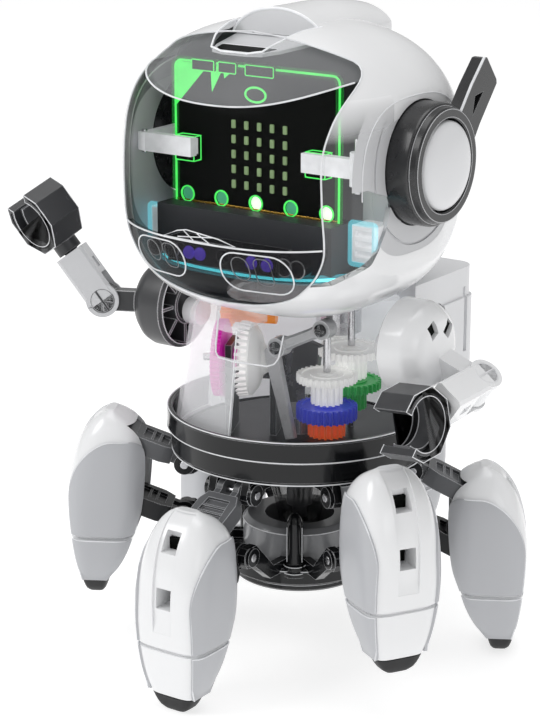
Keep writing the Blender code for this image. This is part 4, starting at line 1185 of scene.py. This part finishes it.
def make_board():
    dress("controller_board", "board", 0.0)
    dress("main_board", "dark", 0.2)
    dress("edge_connector", "connector", 0.0)
    half, low, high, front = 25.8, 122.2, 164.6, -20.8
    outline = in_front(rounded_rectangle((-half, low), (half, high), 2.0, 5), front)
    glow = [tube(outline, 0.32, closed=True)]
    # the two push buttons' cases, drawn by their edges
    for x, z in ((-20.6, 142.0), (20.6, 142.0)):
        for y in (front - 0.1, front - 3.2):
            square = rounded_rectangle((x - 3.0, z - 3.2), (x + 3.0, z + 3.2), 0.4, 2)
            glow.append(tube(in_front(square, y), 0.16, closed=True))
        at = Matrix.Translation((x, 0, z)) @ FRONT_VIEW
        glow.append(tube(circle_line(at, 1.7, front - 3.3, 3, 20), 0.16))
        for a, b in ((-3, -3.2), (3, -3.2), (3, 3.2), (-3, 3.2)):
            glow.append(tube([Vector((x + a, front, z + b)), Vector((x + a, front - 3.2, z + b))], 0.16))
    flattened = Matrix.Translation((0, 0, 157.6)) @ FRONT_VIEW @ Matrix.Diagonal((1, 1.9 / 3.2, 1, 1))
    glow.append(tube(circle_line(flattened, 3.2, front - 0.1, 4, 26), 0.3))
    piece("board_edge_light", gathered(glow), "glow_green", "upper_body")
    corners = [[(-25.4, 164.2), (-25.4, 152.8), (-14.8, 164.2)]]
    corners += [[(x - 0.2, 164.2 - depth), (x + 3.6, 164.2), (x - 0.6, 164.2)]
                for x, depth in ((-13.6, 7.0), (-9.6, 3.2))]
    patches = [prism(corner, front - 0.25, front + 0.05, FRONT_VIEW) for corner in corners]
    piece("board_corner", gathered(patches), "glow_green", "upper_body")
    cases = [block((x - 2.9, front - 3.1, 138.9), (x + 2.9, front + 0.2, 145.1)) for x in (-20.6, 20.6)]
    cases += [block((x0, front - 1.2, CHIP_LOW), (x1, front + 2.4, CHIP_HIGH)) for x0, x1 in CHIPS]
    piece("board_chips", gathered(cases), "board", "upper_body", bevel=0.2)
    chips = [rounded_rectangle((x0, CHIP_LOW), (x1, CHIP_HIGH), 0.3, 2) for x0, x1 in CHIPS]
    edges = [tube(in_front(chip, front - 1.25), 0.15, closed=True) for chip in chips]
    piece("board_chip_light", gathered(edges), "glow_green", "upper_body")
    lamps = []
    for row in range(5):
        for column in range(5):
            x, z = -6.9 + 4.05 * column, 149.4 - 3.95 * row
            lamps.append(block((x - 0.6, front - 0.5, z - 1.1), (x + 0.6, front + 0.1, z + 1.1)))
    piece("board_lamps", gathered(lamps), "glow_led", "upper_body", bevel=0.2)
    pads, cores, bright = [], [], []
    for number in range(5):
        at = space_along(((number - 2) * 11.05, front, 129.2), (0, -1, 0))
        pads.append(turned(rectangle(1.85, -0.2, 2.2, 0.2), 40, at))
        (bright if number in (2, 4) else cores).append(cylinder(1.8, -1.2, -0.4, 36, at))
    piece("board_pad_rings", gathered(pads), "glow_green", "upper_body")
    piece("board_pad_cores", gathered(cores), "pad_core", "upper_body")
    piece("board_pad_lights", gathered(bright), "pad_bright", "upper_body")
    piece("board_halo", tube(outline, 1.0, closed=True), "halo_green", "upper_body")
    strip = block((-half, front - 0.15, 127.25), (half, front + 0.1, 127.75))
    piece("board_gold_edge", strip, "gold", "upper_body", bevel=0.05)


def make_chin():
    """Lit edge of the main board, sensor barrels, lamps and white plugs."""
    points = []
    for i in range(81):
        t = math.pi + math.pi * i / 80
        x = 33.0 * signed_power(math.cos(t), 2 / 2.6)
        y = HEAD_CENTRE.y + 30.5 * signed_power(math.sin(t), 2 / 2.6)
        points.append(Vector((x, y, 113.6)))
    piece("main_board_light", tube(points, 0.4), "glow_cyan", "upper_body")
    piece("main_board_halo", tube(points, 1.3), "halo_cyan", "upper_body")
    dress("sensor_module", "dark_gloss", 0.3)
    dome = [(0, 0), (1.9, 0), (1.9, 1.6), (1.6, 2.6), (0.9, 3.2), (0, 3.4)]
    barrel = [(0, -2.0), (2.3, -2.0), (2.3, 1.8), (1.7, 1.8), (1.5, 0.4), (0, 0.4)]

    def ahead(x):
        return space_along((x, -33.6, 117.6), (0, -1, 0))

    lamps = [turned(dome, 28, ahead(x)) for x in (-10.7, -7.2, 9.1, 14.0)]
    barrel_places = (-21.9, -16.5, 19.0, 23.0)
    barrels = [turned(barrel, 28, ahead(x)) for x in barrel_places]
    # pale glowing rings on the barrels' rims: painted highlight lines
    rims = [tube(circle_line(ahead(x), 2.3, 1.85, 4, 26), 0.16) for x in barrel_places]
    piece("sensor_lamps", gathered(lamps), "glow_purple", "upper_body", bevel=0.1)
    piece("sensor_barrels", gathered(barrels), "dark_gloss", "upper_body", bevel=0.1)
    piece("sensor_rims", gathered(rims), "line", "upper_body")
    plugs = [block((-34.0, -21.5, 114.8), (-29.5, -12.0, 124.6)),
             block((29.4, -20.4, 117.6), (36.6, -8.0, 127.4))]
    for z in (119.4, 122.0, 124.6):
        cut(plugs[1], block((30.6, -21.0, z), (35.4, -19.6, z + 1.2)))
    piece("board_plugs", gathered(plugs), "lit_white", "upper_body", bevel=0.3)
    halos = [tube(in_front(rounded_rectangle(low, high, 0.6, 3), y), 0.8, closed=True) for low, high, y in
             (((29.0, 117.2), (36.2, 127.8), -20.0), ((-34.4, 114.6), (-29.1, 125.0), -21.3))]
    piece("plug_halo", gathered(halos), "halo_cyan", "upper_body")


def make_levers():
    """Both levers are drawn on the left; the right one is flipped and has the smaller barrel."""
    flip = Matrix.Scale(-1, 4, (1, 0, 0))
    for name, travel, barrel, pin in (("left", None, (2.0, 138.4, 147.0), (136.4, 150.4)),
                                      ("right", flip, (1.7, 140.4, 145.0), (139.6, 145.8))):
        arm = block((17.4, -25.7, 140.2), (33.6, -23.1, 145.2))
        join(arm, block((17.4, -25.2, 140.6), (18.8, -22.4, 144.8)),
             cylinder(*barrel, 32, Matrix.Translation((33.6, -24.4, 0))),
             block((32.8, -25.1, 140.5), (35.2, -8.6, 144.9)))
        body = f"button_lever_{name}"
        piece(f"lever_bar_{name}", arm, "lit_white", body, body, travel, bevel=0.35)
        piece(f"lever_pin_{name}", cylinder(0.8, *pin, 20, upright(f"lever_{name}")), "steel", "upper_body",
              bevel=0.15)


def make_ears():
    face = EAR_FACE
    y, z = EAR_CENTRE
    ring = [(3.5, face - 8.2), (15.2, face - 9.4), (EAR_RADIUS, face - 9.0), (EAR_RADIUS, face - 3.0)]
    ring += [(15.7, face - 2.4), (15.1, face - 2.2), (14.9, face - 0.6), (14.4, face), (12.6, face)]
    ring += [(12.1, face - 0.4), (12.1, face - 6.6), (3.5, face - 6.6)]
    for name, side in SIDES:
        outward = space_along((0, y, z), (side, 0, 0))
        shape = turned(ring, 96, outward)
        fin = [(y + 8.5, z + 12.6), (y + 13.5, z + 18.4), (y + 20.0, z + 24.8), (y + 21.4, z + 24.9)]
        fin += [(y + 26.6, z + 18.6), (y + 26.8, z + 17.4), (y + 18.5, z + 8.0), (y + 14.6, z + 2.6)]
        fin += [(y + 12.4, z + 4.0)]
        blade = prism(fin, *sorted((side * (face - 5.2), side * (face - 1.4))), SIDE_VIEW)
        notch = [(y + 14.6, z + 10.6), (y + 19.8, z + 16.2), (y + 15.6, z + 15.6)]
        join(shape, cut(blade, prism(notch, *sorted((side * (face - 9), side * (face + 2))), SIDE_VIEW)))
        piece(f"ear_hoop_{name}", shape, "ear_dark", "upper_body", f"ear_ring_{name}", bevel=0.3)
        # a pale glowing bead on the fin's front edge: painted highlight line
        front = [(y + 8.2, z + 12.4), (y + 13.3, z + 18.6), (y + 19.8, z + 25.1)]
        bead = tube([Vector((side * (face - 1.4), a, b)) for a, b in front], 0.35)
        piece(f"ear_fin_edge_{name}", bead, "line", "upper_body")
        # grey rings on the hoop's front edges: painted highlight lines
        rings = [tube(circle_line(outward, radius, level, 12, 75), 0.1, closed=True, sides=6)
                 for radius, level in ((15.15, face - 2.15), (14.45, face - 0.05), (12.45, face))]
        piece(f"ear_rings_{name}", gathered(rings), "panel", "upper_body")
        turns = [math.radians(degrees) for degrees in range(0, 90, 9)]
        dome = [(0, face - 4.0), (CAP_RADIUS, face - 4.0)]
        dome += [(CAP_RADIUS * math.cos(t) ** 0.9, face - 1.0 + 3.8 * math.sin(t)) for t in turns]
        dome += [(0, face + 2.8)]
        cap = f"ear_cap_{name}"
        button = turned(dome, 96, outward)
        piece(f"ear_button_{name}", button, "panel_white", cap, cap, smooth=60)


def make_head():
    make_head_shell()
    make_visor()
    make_crest()
    make_board()
    make_chin()
    make_levers()
    make_ears()


# ================================================================ arms and battery case
class Arm:
    """Where one arm's joints lie."""

    def __init__(self, name, side, hand_axis):
        self.name, self.side = name, side
        self.shoulder = joint_point(f"shoulder_{name}")
        self.elbow = joint_point(f"elbow_{name}")
        self.wrist = joint_point(f"wrist_{name}")
        self.hinge = joint_axis(f"elbow_{name}")
        self.fore = joint_axis(f"wrist_{name}")
        self.upper = (self.elbow - self.shoulder).normalized()
        self.hand = self.elbow + self.fore * 28.6
        axis = Vector(hand_axis)
        self.hand_axis = (axis - self.fore * axis.dot(self.fore)).normalized()


def make_arm(arm):
    length = (arm.elbow - arm.shoulder).length
    outward = space_along((0, arm.shoulder.y, arm.shoulder.z), (arm.side, 0, 0))
    drum = [(4.6, 34.6), (11.2, 34.6), (12.4, 35.6), (12.4, 41.6), (11.8, 43.4), (10.0, 45.6), (9.0, 46.4)]
    drum += [(7.0, 46.9), (0, 46.9), (0, 36.5), (4.6, 36.5)]
    shape = cut(turned(drum, 80, outward), turned(rectangle(5.6, 34.0, 11.2, 41.6), 64, outward))
    for turn in range(0, 360, 45):
        spin = outward @ Matrix.Rotation(math.radians(turn), 4, "Z")
        join(shape, prism(rectangle(-0.45, 5.2, 0.45, 11.6), 35.4, 42.0, spin))
    along = space_along(arm.shoulder, arm.upper, arm.hinge)
    join(shape, prism(rectangle(-2.9, -3.6, 2.9, 3.6), 6.0, length - 2.0, along))
    joint = space_along(arm.elbow, arm.hinge, arm.upper)
    join(shape, cylinder(4.1, -3.7, 3.7, 48, joint))
    # the slots' floors are black: painted shade in the slots
    floors = []
    for turn in (28.0, -42.0):
        spin = outward @ Matrix.Rotation(math.radians(turn), 4, "Z")
        cut(shape, prism(rectangle(-1.7, 4.5, 1.7, 8.7), 43.5, 50.0, spin))
        floors.append(prism(rectangle(-1.8, 4.4, 1.8, 8.8), 42.4, 45.6, spin))
    look, slot = ("white", "white_shell") if arm.side > 0 else ("shoulder_dark", "dark")
    body = f"upper_arm_{arm.name}"
    piece(f"shoulder_arm_{arm.name}", shape, look, body, body, bevel=0.35)
    # painted shade: black floors in the shoulder slots
    piece(f"shoulder_slots_{arm.name}", gathered(floors), "board", body)
    along = space_along(arm.elbow, arm.fore, arm.hinge)
    reach = (arm.wrist - arm.elbow).length
    sleeve = prism([(-4.2, -4.6), (-3.4, -5.4), (3.4, -5.4), (4.2, -4.6), (4.2, 4.6), (3.4, 5.4), (-3.4, 5.4),
                    (-4.2, 4.6)], 0.0, reach, along)
    across = space_along(arm.elbow, arm.hinge, arm.fore)
    join(sleeve, cylinder(4.6, -5.3, 5.3, 48, across))
    cut(sleeve, prism(rectangle(-6, -4, 6, 4), -8.0, 6.6, along),
        cylinder(2.4, reach - 5.0, reach + 1.0, 32, along))
    for near, far in ((3.2, 5.0), (-5.0, -3.2)):
        cut(sleeve, prism(rectangle(near, -1.5, far, 1.5), 8.4, 11.6, along))
    body = f"forearm_{arm.name}"
    sleeve_look, end_look = ("white", "panel_white") if arm.side > 0 else ("dish", "claw")
    piece(f"sleeve_{arm.name}", sleeve, sleeve_look, body, body, bevel=0.35)
    ends = []
    for end in (-1, 1):
        at = space_along(arm.elbow, arm.hinge * end, arm.fore)
        cover = turned([(0, 4.9), (3.5, 4.9), (3.5, 5.35), (3.1, 5.45), (3.1, 5.3), (0, 5.3)], 40, at)
        ends.append(join(cover, prism(rectangle(-0.35, -3.2, 0.35, 3.2), 5.2, 5.45, at)))
    piece(f"elbow_ends_{arm.name}", gathered(ends), end_look, body, bevel=0.1)
    make_claw(arm, along, reach)


def make_claw(arm, along, reach):
    """The open ring: octagonal outside, round inside, with an inner hoop along its inside."""
    through = space_along(arm.hand, arm.hand_axis, arm.fore)
    start, end = 128.0, 412.0  # the ring's two ends; it opens towards the front of the hand
    outer = [(9.75 * math.cos(math.radians(a)), 9.75 * math.sin(math.radians(a)))
             for a in (start, 157.5, 202.5, 247.5, 292.5, 337.5, 382.5, end)]
    inner = arc((0, 0), 7.3, end, start, 40)
    ring = prism(outer + inner, -5.2, 5.2, through)
    groove = arc((0, 0), 8.9, start + 8, end - 8, 40) + arc((0, 0), 8.1, end - 8, start + 8, 40)
    for low, high in ((-6.0, -3.8), (3.8, 6.0)):
        cut(ring, prism(groove, low, high, through))
    join(ring, cylinder(3.6, reach + 0.4, reach + 3.6, 40, along),
         cylinder(2.0, reach - 4.4, reach + 4.0, 32, along))
    body = f"hand_{arm.name}"
    piece(f"claw_{arm.name}", ring, "claw", body, body, bevel=0.25)
    hoop = arc((0, 0), 6.5, end - 4, start + 4, 40)
    liner = prism(arc((0, 0), 7.35, start + 4, end - 4, 40) + hoop, -2.6, 2.6, through)
    piece(f"claw_liner_{arm.name}", liner, "mid_grey", body, bevel=0.15)
    lines = []
    for side in (-1, 1):
        for outline, height, closed in ((outer + inner, 5.15, True), (hoop, 2.575, False)):
            points = [through @ Vector((0.99 * x, 0.99 * y, side * height)) for x, y in outline]
            lines.append(tube(points, 0.13, closed=closed, sides=6))
    # pale glowing beads along the claw's outlines and hoop: painted highlight lines
    piece(f"claw_lines_{arm.name}", gathered(lines), "line", body)


def make_battery_case():
    half = 29.2
    shape = prism(rounded_rectangle((-half, 8.0), (half, 46.0), 5.5, 8), 76.5, 95.6)
    join(shape, prism(rounded_rectangle((0.7 - half, 8.7), (half - 0.7, 45.4), 5.0, 8), 95.4, 104.0))
    hollow = turned([(0, 70), (34.9, 70), (31.2, 99.0), (31.2, 110), (0, 110)], 96)
    cut(shape, hollow, block((-60, -10, 60), (60, 13.0, 120)))
    heads = []
    for side in (-1, 1):
        well = space_along((side * half, 25.0, 94.0), (side, 0, 0))
        cut(shape, cylinder(2.6, -1.6, 2.0, 36, well),
            block((side * half - 1.2, 38.0, 80.0), (side * half + 1.2, 39.6, 98.5)))
        at = space_along((side * 28.4, 25.0, 94.0), (side, 0, 0))
        screw = turned([(0, -0.6), (2.1, -0.6), (2.1, 0.3), (1.6, 0.6), (0, 0.6)], 28, at)
        heads.append(cut(screw, prism(rectangle(-1.6, -0.25, 1.6, 0.25), 0.1, 2.0, at)))
    piece("battery_box", shape, "panel_white", "upper_body", "battery_case", bevel=0.5)
    piece("battery_screws", gathered(heads), "dark", "upper_body", bevel=0.1)


def make_arms():
    make_arm(Arm("left", 1, (1.0, -0.15, 0.1)))
    make_arm(Arm("right", -1, (0.0, -0.8, -0.6)))
    shoulder = joint_point("shoulder_left")
    stubs = [cylinder(3.8, 29.2, 33.8, 40, space_along((0, shoulder.y, shoulder.z - 1.5), (side, 0, 0)))
             for side in (-1, 1)]
    piece("shoulder_stubs", gathered(stubs), "white", "upper_body", bevel=0.2)


# ================================================================ stage, lights and camera
def make_stage():
    half = 6000.0
    floor = skin([[Vector((x * half, y * half, 0)) for x in (-1, 1)] for y in (-1, 1)])
    floor.name = "floor"
    floor.data.transform(Matrix.Scale(MM, 4) @ Matrix.Translation((0, 0, -0.15)))
    made, tree, shader = new_material("floor_white")
    shade = mixed(tree, ranged(tree, object_noise(tree, 3.0), 0.0, 1.0), (0.5, 0.5, 0.5), (0.52, 0.52, 0.52))
    tree.links.new(shade, shader.inputs["Base Color"])
    shader.inputs["Roughness"].default_value = 0.9
    shader.inputs["Specular IOR Level"].default_value = 0.1
    shader.inputs["Emission Color"].default_value = (1, 1, 1, 1)
    shader.inputs["Emission Strength"].default_value = 0.72
    floor.data.materials.append(made)


def area_light(name, place, target, size, power):
    lamp = bpy.data.lights.new(name, "AREA")
    lamp.shape = "DISK"
    lamp.size = size
    lamp.energy = power
    made = linked(name, lamp)
    made.location = place
    made.rotation_euler = (Vector(target) - Vector(place)).to_track_quat("-Z", "Y").to_euler()


def make_light():
    world = bpy.data.worlds.new("studio")
    bpy.context.scene.world = world
    world.use_nodes = True
    world.node_tree.nodes["Background"].inputs["Color"].default_value = (1, 1, 1, 1)
    world.node_tree.nodes["Background"].inputs["Strength"].default_value = 0.45
    middle = (AXIS.x * MM, AXIS.y * MM, 0.09)
    area_light("key", (-0.55, -0.75, 0.95), middle, 0.7, 5.0)
    area_light("top", (0.05, 0.1, 1.1), middle, 0.9, 4.0)
    area_light("fill", (0.9, -0.5, 0.35), middle, 0.5, 0.6)


CAMERA_AZIMUTH, CAMERA_TILT = math.radians(35.0), math.radians(16.3)
CAMERA_DISTANCE, AIM_HEIGHT, AIM_LEFT = 0.613, 0.0818, 0.00826  # metres
FOCAL_LENGTH = 112.2


def make_camera():
    sin_a, cos_a = math.sin(CAMERA_AZIMUTH), math.cos(CAMERA_AZIMUTH)
    sin_e, cos_e = math.sin(CAMERA_TILT), math.cos(CAMERA_TILT)
    back = Vector((sin_a * cos_e, -cos_a * cos_e, sin_e))
    right = Vector((cos_a, sin_a, 0))
    up = back.cross(right)
    lens = bpy.data.cameras.new("camera")
    lens.sensor_width = 36.0
    lens.lens = FOCAL_LENGTH
    lens.clip_start = 0.01
    made = linked("camera", lens)
    target = AXIS * MM + Vector((0, 0, AIM_HEIGHT)) - right * AIM_LEFT
    turn = Matrix((right, up, back)).transposed().to_4x4()
    made.matrix_world = Matrix.Translation(target + back * CAMERA_DISTANCE) @ turn
    bpy.context.scene.camera = made


make_camera()
make_light()
make_stage()
make_leg_pieces()
make_links()
make_base()
make_waist()
make_head()
make_arms()
make_battery_case()
bpy.context.scene.view_settings.view_transform = "Standard"
